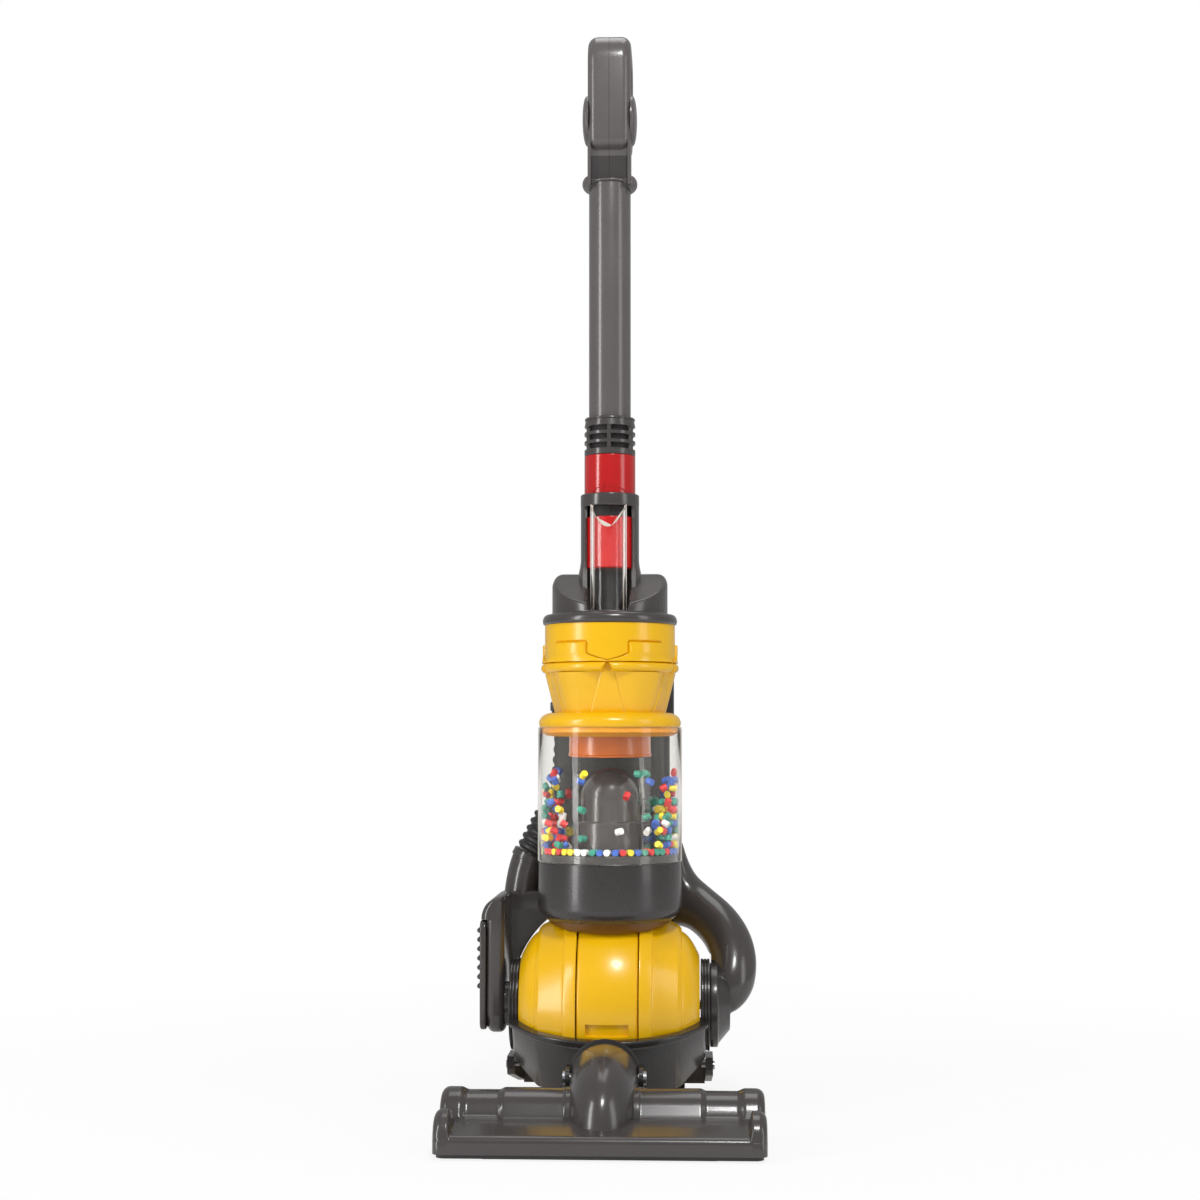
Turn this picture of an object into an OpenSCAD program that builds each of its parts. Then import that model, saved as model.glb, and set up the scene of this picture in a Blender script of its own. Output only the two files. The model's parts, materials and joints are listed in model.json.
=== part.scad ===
// Toy upright vacuum cleaner, assembled. Millimetres, +Z up, front towards -Y.
// The origin is on the floor, under the middle of the toy's box.
// Sizes called "ahead" are measured forwards from the ball's axle.

/* [Floor head] */
// Width of the floor head
head_w = 186; // [172:1:210]
// Front face of the head ahead of its pivot
head_reach = 75; // [73:0.5:82]
// Depth of the head from front to back
head_depth = 66; // [62:1:69]
// Height of the front face
front_h = 11; // [10:0.5:13]
// Height where the front bar meets the back bar
step_h = 19; // [17:0.5:21]
// Height of the back bar
bar_top = 31; // [29:0.5:32]
// Radius of the back bar
bar_r = 16; // [14:0.5:17]
// Wall of the head's top shell
head_wall = 2.2; // [1.6:0.1:2.6]
// Width of each rounded end of the back bar
lobe_w = 12; // [8:1:16]
// How far the rounded ends stand proud of the back bar
lobe_rise = 1.6; // [1:0.1:2.2]
// Width of each rounded end of the front bar
front_lobe_w = 9; // [6:1:12]
// Radius of the rounded ends of the front bar
front_lobe_r = 12; // [11:0.5:13]
// Width of the raised middle of the back bar
centre_w = 120; // [100:1:130]
// How far the raised middle stands proud
centre_rise = 1.2; // [0.8:0.1:1.6]
// Length of the slanted ends of the raised middle
centre_slope = 3; // [2:0.5:5]
// Thickness of the sole plate
sole_t = 2; // [1.6:0.1:2.6]
// Width of the suction slot
slot_w = 110; // [80:1:120]
// Depth of the suction slot from front to back
slot_d = 11; // [9:0.5:12]
// Thickness of the felt strips under the sole
felt_t = 1.2; // [1:0.1:1.6]
// Width of a felt strip from front to back
felt_d = 7; // [5:0.5:8]

/* [Neck] */
// Head pivot ahead of the yoke's wall
neck_ahead = 29.46; // [28:0.02:32]
// Height of the head pivot
neck_z = 34; // [33:0.5:35]
// Radius of the neck dome at the pivot
dome_r = 20; // [19:0.25:20.5]
// Radius of the dome's nose
nose_r = 13; // [11:0.5:14]
// Middle of the dome's nose ahead of the pivot
nose_ahead = 51; // [46:1:54]
// Height of the middle of the dome's nose
nose_z = 11; // [9:0.5:13]
// Wall of the dome
dome_wall = 2.2; // [1.8:0.1:2.8]
// Wall of the swivel collar's cup
cup_wall = 2.4; // [2:0.1:2.8]
// Thickness of the collar's ears
ear_t = 2.6; // [2:0.1:3.2]
// Radius of the collar's ears
ear_r = 6; // [5:0.25:7]
// Radius of the pins in the ears
pin_r = 2.4; // [2:0.1:2.8]
// Radius of the collar's shank
shank_r = 9; // [8:0.25:10]
// Radius of the yoke's neck boss
boss_r = 13; // [12:0.25:14]

/* [Ball] */
// Radius of the ball
ball_r = 65; // [64:0.25:66]
// Half of the ball's width
ball_half_w = 56.4; // [54:0.1:57]
// Half of the width between the ball's two shoulders
shoulder_x = 45; // [43:0.5:47]
// Radius of the ball's end faces
ball_end_r = 32; // [30:0.5:34]
// Half of the width of the ball's middle band
band_half = 18.9; // [17:0.1:20]
// Width of the ribs beside the band
rib_w = 8.2; // [6:0.1:10]
// Height of the ribs
rib_h = 1; // [0.6:0.1:1.3]
// Wall of the ball
ball_wall = 2.2; // [1.8:0.1:2.8]
// Radius of the ball's hubs
hub_r = 8; // [6:0.25:10]
// Length of the ball's hubs
hub_l = 14; // [10:0.5:18]
// Radius of the axle
axle_r = 3; // [2.5:0.1:3.5]
// Width of the notch in the band
notch_w = 26; // [20:0.5:30]
// Height of the notch
notch_h = 7.5; // [6:0.5:9]
// Depth of the notch
notch_deep = 1.4; // [1:0.1:1.6]
// Angle of the notch below the axle
notch_low = 10; // [6:0.5:14]

/* [Yoke and stand] */
// Gap between the ball and the yoke
yoke_gap = 2; // [1.6:0.1:2.6]
// Wall of the yoke
yoke_wall = 4.6; // [4:0.1:5.2]
// Angle of the yoke's rim below the axle
rim_low = 15; // [12:0.5:20]
// Angle of the yoke's lower edge below the axle
yoke_low = 57; // [54:0.5:58]
// Height of the yoke's flat lower edge ahead of the axle
yoke_floor = 20; // [18:0.25:20.5]
// How far ahead of the axle the flat lower edge ends
floor_ahead = 22; // [18:0.5:26]
// Height of the yoke's rim lip
lip_rise = 1.4; // [0.8:0.1:2]
// Width of the yoke's rim lip in degrees
lip_deg = 4; // [3:0.5:6]
// Radius of the yoke's discs on the axle
disc_r = 29; // [27:0.25:30]
// Thickness of the yoke's discs
disc_t = 5.6; // [5:0.1:6]
// Gap between the ball's ends and the yoke's discs
disc_gap = 0.8; // [0.6:0.1:1.2]
// Thickness of the yoke's side walls
side_t = 3; // [2.6:0.1:3.4]
// Rear edge of the stand behind the axle
stand_reach = 75; // [73:0.5:82]
// Thickness of the stand's legs
leg_t = 4.6; // [4:0.1:5.4]
// Height of the stand's legs
leg_h = 12; // [10:0.5:13]
// Depth of the stand's crossbar
crossbar_d = 14; // [13.5:0.5:16]
// Height of the stand's crossbar
crossbar_h = 14; // [12:0.5:16]
// Radius of the stand's rollers
roller_r = 6; // [5.5:0.25:6.5]
// Width of a roller
roller_w = 10; // [7:0.5:14]
// Distance between the rollers' middles
roller_span = 84; // [70:1:96]
// Radius of the rollers' axle
roller_axle_r = 1.5; // [1.2:0.1:1.8]

/* [Bin] */
// Axis of the bin and the wand ahead of the axle
bin_ahead = 12; // [10:0.25:13]
// Radius of the bin
bin_r = 45.4; // [44:0.2:46]
// Wall of the clear bin
bin_wall = 1.6; // [1.2:0.1:2]
// Height of the clear bin
bin_h = 84; // [76:1:96]
// Height of the bin base above the floor
base_z = 124; // [123:0.5:126]
// Height of the bin base
base_h = 33; // [31:0.5:36]
// Radius of the base's lower corner
base_corner = 13; // [11:0.5:15]
// Wall of the bin base
base_wall = 2.6; // [2.2:0.1:3]
// Height of the bin's floor above the base's rim
floor_rise = 5; // [4:0.25:6]
// Thickness of the bin's floor
floor_t = 3; // [2.4:0.1:3.6]
// Radius of the saddle where it leaves the base
saddle_r = 41; // [40:0.25:41.25]
// Radius of the saddle's lower edge
saddle_low_r = 38; // [36:0.25:39]
// Height of the saddle's lower edge above the floor
saddle_z = 104; // [102:0.5:108]
// Gap between the saddle and the ball
saddle_gap = 1.5; // [1.2:0.1:2]
// Thickness of the bin collar's rim
collar_h = 9; // [7:0.25:12]
// Rounding of the collar's rim
collar_round = 6.4; // [4:0.1:7]
// How far the collar's band reaches into the bin
collar_band = 6.4; // [4:0.2:9]
// Wall of the collar's band
band_wall = 2.4; // [2:0.1:3]
// Radius of the baffle under the collar
baffle_r = 25.8; // [23:0.2:28]
// Height of the baffle
baffle_h = 20; // [14:0.5:22]
// Radius of the dome in the bin
cover_r = 18.6; // [17.5:0.2:19.6]
// Height of the dome over the bin's floor
cover_h = 52; // [48:0.5:54]
// Radius of the dome's foot
foot_r = 21.2; // [20.4:0.2:23]
// Height of the dome's foot
foot_h = 20; // [18:0.5:24]
// Wall of the dome
cover_wall = 1.6; // [1.2:0.1:1.8]
// Size of a bead
bead = 4; // [3.6:0.1:4.2]
// Layers of beads in the two heaps
bead_layers = 6; // [3:1:8]

/* [Cyclone pack] */
// Radius of the pack's drum
drum_r = 41; // [40:0.2:42]
// Height of the drum above the ring
drum_h = 22; // [20:0.5:26]
// Radius of the ring round the pack
ring_r = 43.4; // [42.6:0.2:44]
// Height of the ring
ring_h = 6.4; // [5:0.2:8]
// Height of the cones under the ring
cone_h = 26.6; // [24:0.5:30]
// Radius of the pack where the cones meet the collar
cone_low_r = 36.2; // [35:0.2:37.4]
// Wall of the pack
pack_wall = 2.2; // [1.8:0.1:2.8]
// Number of small cyclones round the pack
cyclones = 5; // [4:1:6]
// Distance of a cone's axis from the pack's axis
cone_axis = 20; // [18:0.5:22]
// How far the cones stand proud at the collar
cone_rise = 2.2; // [1.6:0.1:2.6]
// How far the cones stand proud at the ring
cone_proud = 6; // [4:0.2:7]
// Radius of a small cyclone's cap
cyclone_r = 9.6; // [8.5:0.1:10.5]
// Height of a small cyclone's cap above the ring
cyclone_h = 12; // [9:0.5:14]
// How far the cyclone caps stand back from the ring's edge
cyclone_inset = 0.6; // [0.4:0.1:1]
// Chamfer under the ring
ring_chamfer = 1.6; // [1:0.1:2.4]

/* [Shoulder and cradle] */
// Radius of the flange under the shoulder cap
flange_r = 42.4; // [41.6:0.2:44]
// Thickness of the flange
flange_h = 6.6; // [5:0.2:8]
// Radius of the shoulder cap
cap_r = 36.4; // [35:0.2:37.4]
// Height of the shoulder cap
cap_h = 27; // [24:0.5:30]
// Rounding of the cap's upper edge
cap_round = 5; // [3:0.25:6]
// Height of the cap's front edge above the flange
cap_front_h = 6; // [5:0.25:8]
// Where the cap's slope ends, ahead of the bin's axis
cap_slope_end = 2; // [0:0.5:6]
// Wall of the cap
cap_wall = 2.4; // [2:0.1:3]
// Outer radius of the wand cradle
cradle_r = 18.4; // [18:0.1:19]
// Height of the cradle above the cap
cradle_h = 49; // [45:0.5:56]
// Height of the ring at the cradle's top
cradle_ring_h = 8; // [6:0.5:10]
// Width of the cradle's front window
window_w = 27.6; // [26:0.2:28.4]
// Half of the clear duct's width
duct_r = 12.6; // [12:0.1:12.8]
// Wall of the clear duct
duct_wall = 1.5; // [1.2:0.1:1.8]
// Front of the clear duct ahead of the wand's axis
duct_ahead = 36; // [35:0.2:37]
// Back edges of the clear duct ahead of the wand's axis
duct_back = 19; // [18.6:0.2:20]

/* [Wand] */
// Radius of the red tube and the vent collar
red_r = 16.1; // [15.7:0.1:16.4]
// Length of the red tube
red_h = 71.5; // [66:0.5:80]
// Wall of the red tube
red_wall = 2.2; // [1.8:0.1:2.4]
// Height of the vent collar
vent_h = 24; // [20:0.5:30]
// Height of a vent slot
vent_slot = 2.6; // [2:0.1:3.2]
// Depth of a vent slot
vent_deep = 1.3; // [0.8:0.1:1.6]
// Radius of the wand tube
tube_r = 13.2; // [12.6:0.1:13.4]
// Wall of the wand tube
tube_wall = 1.5; // [1.2:0.1:1.8]
// Length of the wand tube between the vent collar and the handle
tube_h = 149; // [120:1:180]
// Length of the tube inside the vent collar
tube_seat = 16; // [12:0.5:18]

/* [Handle] */
// Width of the handle
handle_w = 27.2; // [25:0.2:29]
// Depth of the handle's loop
loop_d = 64; // [58:1:72]
// Height of the handle's loop
loop_h = 74; // [70:1:82]
// Front of the loop ahead of the wand's axis
loop_ahead = 16; // [15:0.5:18]
// Thickness of the loop's grip bars
grip_t = 14; // [12:0.5:15]
// Height of the solid foot of the loop
loop_foot = 37; // [35:0.5:40]
// Height of the neck under the loop
handle_neck = 20; // [16:0.5:24]
// Width of the neck
neck_w = 23; // [21:0.2:24]
// Radius of the ring round the neck
handle_ring_r = 17.5; // [16.5:0.1:18.5]
// Height of that ring
handle_ring_h = 9; // [7:0.25:11]
// Wall of the handle's shells
handle_wall = 2.4; // [2:0.1:3]
// Radius of the round side caps
side_cap_r = 15.5; // [14:0.25:16]
// How far the side caps stand proud
side_cap_h = 3.6; // [2.6:0.1:4.4]

/* [Ducts and hose] */
// Radius of the right duct
duct_tube_r = 14.6; // [13:0.2:15]
// Reach of the right duct past the yoke's disc
duct_out = 29.2; // [27:0.2:29.6]
// Half of the height of the right duct's root
root_h = 23; // [20:0.5:24]
// Half of the depth of the right duct's root
root_d = 11.6; // [10:0.2:12]
// Wall of the right duct
right_duct_wall = 2.4; // [2:0.1:3]
// Radius of the hub's flange
hub_flange_r = 26.6; // [25:0.2:28]
// Radius of the hub's small end
hub_end_r = 15.6; // [14:0.2:17]
// Thickness of the hub's flange
hub_flange_t = 4; // [3:0.2:5]
// How far the hub's small end stops short of the right duct's middle
hub_short = 1.2; // [0.8:0.1:1.6]
// Gap between the yoke's disc and the hub
hub_gap = 1; // [0.8:0.1:1.2]
// Outer radius of the ribbed hose
hose_r = 12.4; // [11:0.2:12.8]
// Depth of the hose's ribs
hose_rib = 1.8; // [1.2:0.1:2.2]
// Bore radius of the hose
hose_bore = 8.6; // [7:0.2:9]
// Number of ribs on the hose
hose_ribs = 18; // [12:1:24]
// Lean of the hose's lower end from upright
hose_lean = 28; // [22:1:32]
// Radius of the hose's bend
hose_bend = 100; // [100:1:120]
// Straight length at each end of the hose
hose_end = 25; // [25:0.5:30]
// Foot of the hose left of the middle
hose_foot_x = 53; // [50:0.5:55]

/* [Left housing] */
// Outer face of the left housing from the middle
housing_out = 78; // [76:0.5:80]
// Inner face of the left housing from the middle
housing_in = 66.5; // [66:0.1:67]
// Radius of the housing's round lower end
housing_r = 18; // [16:0.5:19]
// Top of the left housing
housing_top = 134; // [130:0.5:140]
// Rounding of the housing's outer top edge
housing_round = 10; // [6:0.5:11]
// Thickness of the housing's bridge to the spine
bridge_t = 14; // [11:0.5:14]
// Thickness of the web between the housing and the bridge
web_t = 8; // [5:0.5:10]
// Radius of the web's hollow edge round the ball
web_r = 66; // [65:0.25:68]
// Thickness of the ribbed side cover
cover_t = 4; // [3:0.2:5]
// Height of the cover's finger ribs
cover_rib = 1.6; // [1:0.1:2]
// Number of finger ribs
cover_ribs = 7; // [5:1:9]
// Lower edge of the side cover above the floor
cover_z = 50; // [48:0.5:52]
// Height of the side cover
cover_tall = 69; // [62:0.5:70]
// Depth of the side cover
cover_d = 34; // [30:0.5:36]

/* [Spine and power] */
// Half of the spine's width
spine_half = 40; // [38:0.5:42]
// Lower end of the spine above the floor
spine_z = 126; // [124:0.5:128]
// Upper end of the spine above the floor
spine_top = 302; // [298:0.5:303]
// Thickness of the spine's front panel
panel_t = 3.2; // [2.6:0.1:3.8]
// Depth of the spine's rear cover
spine_d = 25; // [24:0.25:26]
// Wall of the spine's rear cover
spine_wall = 2.2; // [1.8:0.1:2.4]
// Rounding of the spine's upper corners
spine_round = 9; // [6:0.5:12]
// Diameter of a cell
cell_dia = 14.5; // [14:0.1:14.5]
// Length of a cell
cell_l = 50.5; // [49:0.1:51]
// Number of cells
cells = 3; // [2:1:3]
// Thickness of the battery contacts
contact_t = 0.8; // [0.5:0.1:1.2]
// Thickness of the battery door
door_t = 2; // [1.6:0.1:2.2]
// Radius of the motor
motor_r = 12; // [10:0.25:13]
// Length of the motor
motor_l = 20; // [16:0.5:22]
// Radius of the motor's shaft
shaft_r = 1; // [0.8:0.1:1.3]
// Radius of the impeller
impeller_r = 15; // [12:0.25:15.5]
// Height of the impeller
impeller_h = 9; // [6:0.5:11]
// Number of impeller blades
blades = 7; // [5:1:9]
// Radius of the power button
button_r = 7; // [5:0.25:9]
// Travel of the power button
button_travel = 2; // [1:0.1:3]
// Radius of the loudspeaker
speaker_r = 14; // [11:0.5:16]

/* [Fits] */
// Radial clearance of a shaft that turns in its bore
run_fit = 0.05; // [0.02:0.01:0.09]
// Gap between fixed pieces that sit in one another
seat_fit = 0.2; // [0.15:0.05:0.3]
// Gap between pieces that move past one another
slide_fit = 0.4; // [0.35:0.05:0.5]
// Shaft radius of the screws
screw_r = 1.3; // [1:0.1:1.5]
// Head radius of the screws
screw_head_r = 2.6; // [2.2:0.1:2.9]
// Head height of the screws
screw_head_h = 1.1; // [0.8:0.1:1.1]

/* [Hidden] */

$fn = 64;
eps = 0.01;
far = 400;

grey = [0.35, 0.34, 0.34];
dark = [0.24, 0.23, 0.23];
yellow = [0.96, 0.74, 0.1];
red = [0.8, 0.1, 0.1];
clear = [0.9, 0.92, 0.93, 0.35];
steel = [0.75, 0.76, 0.78];

// Frame: the toy's box runs from the head's front face to the stand's rear edge
axle_z = ball_r;
yoke_r = ball_r + yoke_gap + yoke_wall;
neck_y = -sqrt(pow(yoke_r, 2) - pow(axle_z - neck_z, 2)) - neck_ahead;
head_front = neck_y - head_reach;
axle_y = (-head_front - stand_reach)/2;

// Floor head
sole_top = felt_t + sole_t;
head_back = head_front + head_depth;
bar_y = head_back - bar_r;
bar_z = bar_top - bar_r;
front_round = 3;
step_angle = 180 - asin((step_h - bar_z)/bar_r);
sole_inset = 2;
slot_y = head_front + 22;
head_screw_x = head_w/2 - 22;
felt_half = head_screw_x - screw_head_r - 3;

// Neck
socket_r = dome_r + slide_fit;
cup_r = socket_r + cup_wall;
boss_front = neck_y + cup_r + slide_fit;
ear_in = dome_r + slide_fit;
pin_head = 1.6;

// Yoke and stand
disc_in = ball_half_w + disc_gap;
disc_out = disc_in + disc_t;
side_out = disc_in + side_t;
side_rim = 8;
side_r = disc_r + side_rim;
bore_rim = 9;
boss_in = 8;
stand_screw_in = 8;
knuckle_rim = 0.6;
knuckle_r = duct_tube_r + knuckle_rim;
hub_out = duct_out - knuckle_r - hub_gap - hub_short;
leg_y0 = -14;
disc_clear = 2;
ear_root = 11;
tab_d = 20;
tab_rise = 1;
leg_round = 4;
leg_head = 26;
foot_round = 5;
roller_grip = 5.5;
base_tab_w = 32;
base_tab_in = 3;
base_tab_low = 2;
end_fit = 0.5;
leg_z0 = axle_z - disc_r - slide_fit - leg_h - disc_clear;
roller_y = stand_reach - crossbar_d/2;
crossbar_drop = 2.8;
crossbar_z = roller_r + roller_axle_r - crossbar_drop;

// Bin stack, from the base upwards
bin_y = -bin_ahead;
base_top = base_z + base_h;
bin_floor = base_top + floor_rise;
bin_inner = bin_r - bin_wall;
bin_top = base_top + bin_h;
collar_top = bin_top + collar_h;
cone_top = collar_top + cone_h;
ring_top = cone_top + ring_h;
drum_top = ring_top + drum_h;
flange_top = drum_top + flange_h;
cap_top = flange_top + cap_h;
cradle_top = cap_top + cradle_h;
red_bottom = cap_top + 2;
red_top = red_bottom + red_h;
vent_top = red_top + vent_h;
tube_top = vent_top + tube_h;
loop_bottom = tube_top + handle_neck;
loop_top = loop_bottom + loop_h;

// Spine, behind the bin
panel_y = bin_y + bin_r + seat_fit;
cover_y = panel_y + panel_t;
spine_back = cover_y + spine_d;
hose_y = cover_y + hose_r + slide_fit;
box_left = -hose_left() + hose_r + 2;
hose_z0 = housing_top + 24;
hose_top = hose_z0 + hose_end*(1 + cos(hose_lean)) + hose_bend*sin(hose_lean);
cell_pitch = cell_dia + seat_fit;
cell_z = spine_z + spine_wall + contact_t + 14;
cell_y = spine_back - door_t - seat_fit - cell_dia/2;
cell_x = (box_left + spine_half)/2;
door_w = cells*cell_pitch + 2;
door_h = cell_l + 2*contact_t + 4;
door_z = cell_z - contact_t - 2;
speaker_z = spine_top - speaker_r - 12;
button_x = -22;
button_z = speaker_z;

// Left housing
bridge_z = housing_top - bridge_t;
cover_x = -housing_out;
web_low = 10;
web_high = asin((bridge_z - axle_z)/web_r);

function arc(c, r, a0, a1, n = 10) =
    [for (i = [0:n]) [c[0] + r*cos(a0 + (a1 - a0)*i/n), c[1] + r*sin(a0 + (a1 - a0)*i/n)]];

function box_arcs(lo, hi, r) = concat(
    arc([hi[0] - r, hi[1] - r], r, 0, 90), arc([lo[0] + r, hi[1] - r], r, 90, 180),
    arc([lo[0] + r, lo[1] + r], r, 180, 270), arc([hi[0] - r, lo[1] + r], r, 270, 360));

// Hose path: straight up its lean, round the bend, straight up
function hose_left() = hose_foot_x - hose_end*sin(hose_lean) - hose_bend*(1 - cos(hose_lean));

// Placement
module at_axle() translate([0, axle_y, 0]) children();
module at_bin(z = 0) translate([0, axle_y + bin_y, z]) children();
module along_x() rotate([0, 90, 0]) children();
module along_y() rotate([-90, 0, 0]) children();
module on_ball() at_axle() translate([0, 0, axle_z]) along_x() children();

// Side outline in the YZ plane, drawn from x0 over a width
module side_plate(x0, width) translate([x0, 0, 0]) rotate([90, 0, 90]) linear_extrude(width) children();
// Front outline in the XZ plane, drawn backwards from y0
module front_plate(y0, depth) translate([0, y0 + depth, 0]) rotate([90, 0, 0]) linear_extrude(depth) children();

module ring(r_out, r_in, h) rotate_extrude() translate([r_in, 0]) square([r_out - r_in, h]);

module screw(l) {
    translate([0, 0, -screw_head_h/2]) cylinder(r = screw_r, h = l + screw_head_h/2);
    translate([0, 0, -screw_head_h]) cylinder(r = screw_head_r, h = screw_head_h);
}

// Tube swept along points, with an oval section (height, depth) at each
function unit(v) = v/norm(v);
function tangent(p, i) = unit(p[min(i + 1, len(p) - 1)] - p[max(i - 1, 0)]);
function oval(c, t, a, b, n) = let (u = unit(cross(t, [0, 1, 0])), v = cross(u, t))
    [for (k = [0:n - 1]) c + u*a*cos(360*k/n) + v*b*sin(360*k/n)];
module sweep(path, high, deep, n = 24) {
    m = len(path);
    points = [for (i = [0:m - 1]) each oval(path[i], tangent(path, i), high[i], deep[i], n)];
    sides = [for (i = [0:m - 2]) for (k = [0:n - 1]) let (a = i*n + k, b = i*n + (k + 1) % n)
        each [[a, b, b + n], [a, b + n, a + n]]];
    ends = [for (k = [1:n - 2]) each [[0, k + 1, k], [(m - 1)*n, (m - 1)*n + k, (m - 1)*n + k + 1]]];
    polyhedron(points, concat(sides, ends));
}

// Floor head
function head_outline(inset) = concat(
    [[head_front + inset, sole_top]],
    arc([head_front + front_round, front_h - front_round], front_round - inset, 180, 105, 5),
    arc([bar_y, bar_z], bar_r - inset, step_angle, 0, 20),
    [[head_back - inset, sole_top]]);

module above_sole() intersection() {
    children();
    translate([-far/2, -far, sole_top]) cube([far, 2*far, far]);
}

module head_block(gap = 0) {
    half = head_w/2 - 4;
    side_plate(-half, 2*half) polygon(head_outline(-gap));
    above_sole() translate([0, bar_y, bar_z]) along_x() rotate_extrude() polygon([
        [0, -centre_w/2], [bar_r - head_wall/2, -centre_w/2],
        [bar_r + centre_rise + gap, -centre_w/2 + centre_slope],
        [bar_r + centre_rise + gap, centre_w/2 - centre_slope],
        [bar_r - head_wall/2, centre_w/2], [0, centre_w/2]]);
}

module end_lobe(r, w) along_x() rotate_extrude() polygon(concat(
    [[0, 0], [r - 1, 0]], arc([r - 4, w - 4], 4, 0, 90, 6), [[0, w]]));

module head_top_shell() color(grey) at_axle() difference() {
    union() {
        head_block();
        for (side = [0, 1]) mirror([side, 0, 0]) above_sole() {
            translate([head_w/2 - lobe_w, bar_y, bar_z]) end_lobe(bar_r + lobe_rise, lobe_w);
            translate([head_w/2 - front_lobe_w, head_front + front_lobe_r + 0.5, front_h - 1])
                end_lobe(front_lobe_r, front_lobe_w);
        }
    }
    difference() {
        side_plate(-head_w/2 + lobe_w + 1, head_w - 2*lobe_w - 2) polygon(concat(
            [[head_front + head_wall, sole_top - eps]],
            arc([head_front + front_round, front_h - front_round], front_round - head_wall, 180, 105, 4),
            arc([bar_y, bar_z], bar_r - head_wall, step_angle, 0, 20),
            [[head_back - head_wall, sole_top - eps]]));
        for (x = [-head_screw_x, head_screw_x]) translate([x, bar_y, 0])
            cylinder(r = screw_r + 2.4, h = bar_top);
    }
    for (x = [-head_screw_x, head_screw_x])
        translate([x, bar_y, 0]) cylinder(r = screw_r + seat_fit, h = bar_top - head_wall - 2);
}

module sole_plate() color(dark) at_axle() difference() {
    translate([0, 0, felt_t]) linear_extrude(sole_t) polygon(box_arcs(
        [-head_w/2 + sole_inset, head_front + 0.8], [head_w/2 - sole_inset, head_back - 1], 5));
    translate([-slot_w/2, slot_y - slot_d/2, 0]) cube([slot_w, slot_d, sole_top + 1]);
    for (x = [-head_screw_x, head_screw_x]) translate([x, bar_y, 0])
        cylinder(r = screw_r + seat_fit, h = sole_top + 1);
}

felt_front = 6;
felt_back = 14;
module sole_felts() color("dimgray") at_axle()
    for (y = [head_front + felt_front, head_back - felt_back - felt_d])
    translate([-felt_half, y, 0]) cube([2*felt_half, felt_d, felt_t]);

module head_screws() color(steel) at_axle() for (x = [-head_screw_x, head_screw_x])
    translate([x, bar_y, felt_t]) screw(bar_top - head_wall - 8);

// Neck
module dome_form(shrink) hull() {
    translate([0, neck_y, neck_z]) sphere(r = dome_r - shrink, $fn = 48);
    translate([0, neck_y - nose_ahead, nose_z]) sphere(r = nose_r - shrink, $fn = 32);
}

module neck_dome() color(grey) at_axle() {
    difference() {
        dome_form(0);
        dome_form(dome_wall);
        head_block(seat_fit);
        translate([-far/2, head_front, -far]) cube([far, head_depth, far + step_h/2]);
        translate([-far/2, neck_y, neck_z]) along_x() cylinder(r = pin_r + run_fit, h = far);
    }
    for (side = [0, 1]) mirror([side, 0, 0]) translate([dome_r*0.55, neck_y, neck_z]) along_x()
        ring(pin_r + 2.4, pin_r + run_fit, dome_r*0.45 - dome_wall/2);
}

module swivel_collar() color(dark) at_axle() difference() {
    union() {
        intersection() {
            translate([0, neck_y, neck_z]) sphere(r = cup_r);
            translate([-far/2, neck_y + 7, 0]) cube([far, far, far]);
        }
        translate([0, neck_y + dome_r, neck_z]) along_y()
            cylinder(r = shank_r, h = -neck_y - dome_r - ball_r + 4);
        for (side = [0, 1]) mirror([side, 0, 0]) translate([ear_in, neck_y, neck_z]) {
            along_x() cylinder(r = ear_r, h = ear_t);
            translate([0, 0, -ear_r]) cube([ear_t, ear_root, 2*ear_r]);
        }
    }
    translate([0, neck_y, neck_z]) sphere(r = socket_r);
    translate([-far/2, neck_y, neck_z]) along_x() cylinder(r = pin_r + seat_fit, h = far);
    ball_room(yoke_gap);
}

module neck_pins() color(steel) at_axle() for (side = [0, 1]) mirror([side, 0, 0])
    translate([dome_r*0.55 + 1, neck_y, neck_z]) along_x() {
        cylinder(r = pin_r, h = ear_in + ear_t - dome_r*0.55 - 1 + eps);
        translate([0, 0, ear_in + ear_t - dome_r*0.55 - 1]) cylinder(r = pin_r + 1.6, h = pin_head);
    }

// Ball: outline of radius against width, grown by a gap
function ball_curve(x0, x1, grow, n = 12) =
    [for (i = [0:n]) let (x = x0 + (x1 - x0)*i/n) [sqrt(pow(ball_r + grow, 2) - x*x), x]];

module ball_room(gap) translate([0, 0, axle_z]) along_x() rotate_extrude() polygon(concat(
    [[0, -ball_half_w - gap], [ball_end_r + gap, -ball_half_w - gap]],
    ball_curve(-shoulder_x, shoulder_x, gap, 24),
    [[ball_end_r + gap, ball_half_w + gap], [0, ball_half_w + gap]]));

module ball_shell() rotate_extrude() polygon(concat(
    [for (p = ball_curve(band_half, band_half + rib_w, rib_h, 4)) p],
    ball_curve(band_half + rib_w, shoulder_x, 0),
    [[ball_end_r, ball_half_w], [axle_r + run_fit, ball_half_w], [axle_r + run_fit, ball_half_w - hub_l],
     [hub_r, ball_half_w - hub_l], [hub_r, ball_half_w - ball_wall],
     [ball_end_r - ball_wall, ball_half_w - ball_wall]],
    ball_curve(shoulder_x - ball_wall/2, band_half, -ball_wall)));

module ball_right_shell() color(yellow) on_ball() ball_shell();
module ball_left_shell() color(yellow) on_ball() mirror([0, 0, 1]) ball_shell();

module ball_band() color(yellow) on_ball() difference() {
    rotate_extrude() polygon(concat(ball_curve(-band_half, band_half, 0),
                                    ball_curve(band_half, -band_half, -ball_wall)));
    rotate([0, 0, notch_low - 90]) translate([ball_r - notch_deep, -notch_h/2, -notch_w/2])
        cube([far, notch_h, notch_w]);
}

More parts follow.
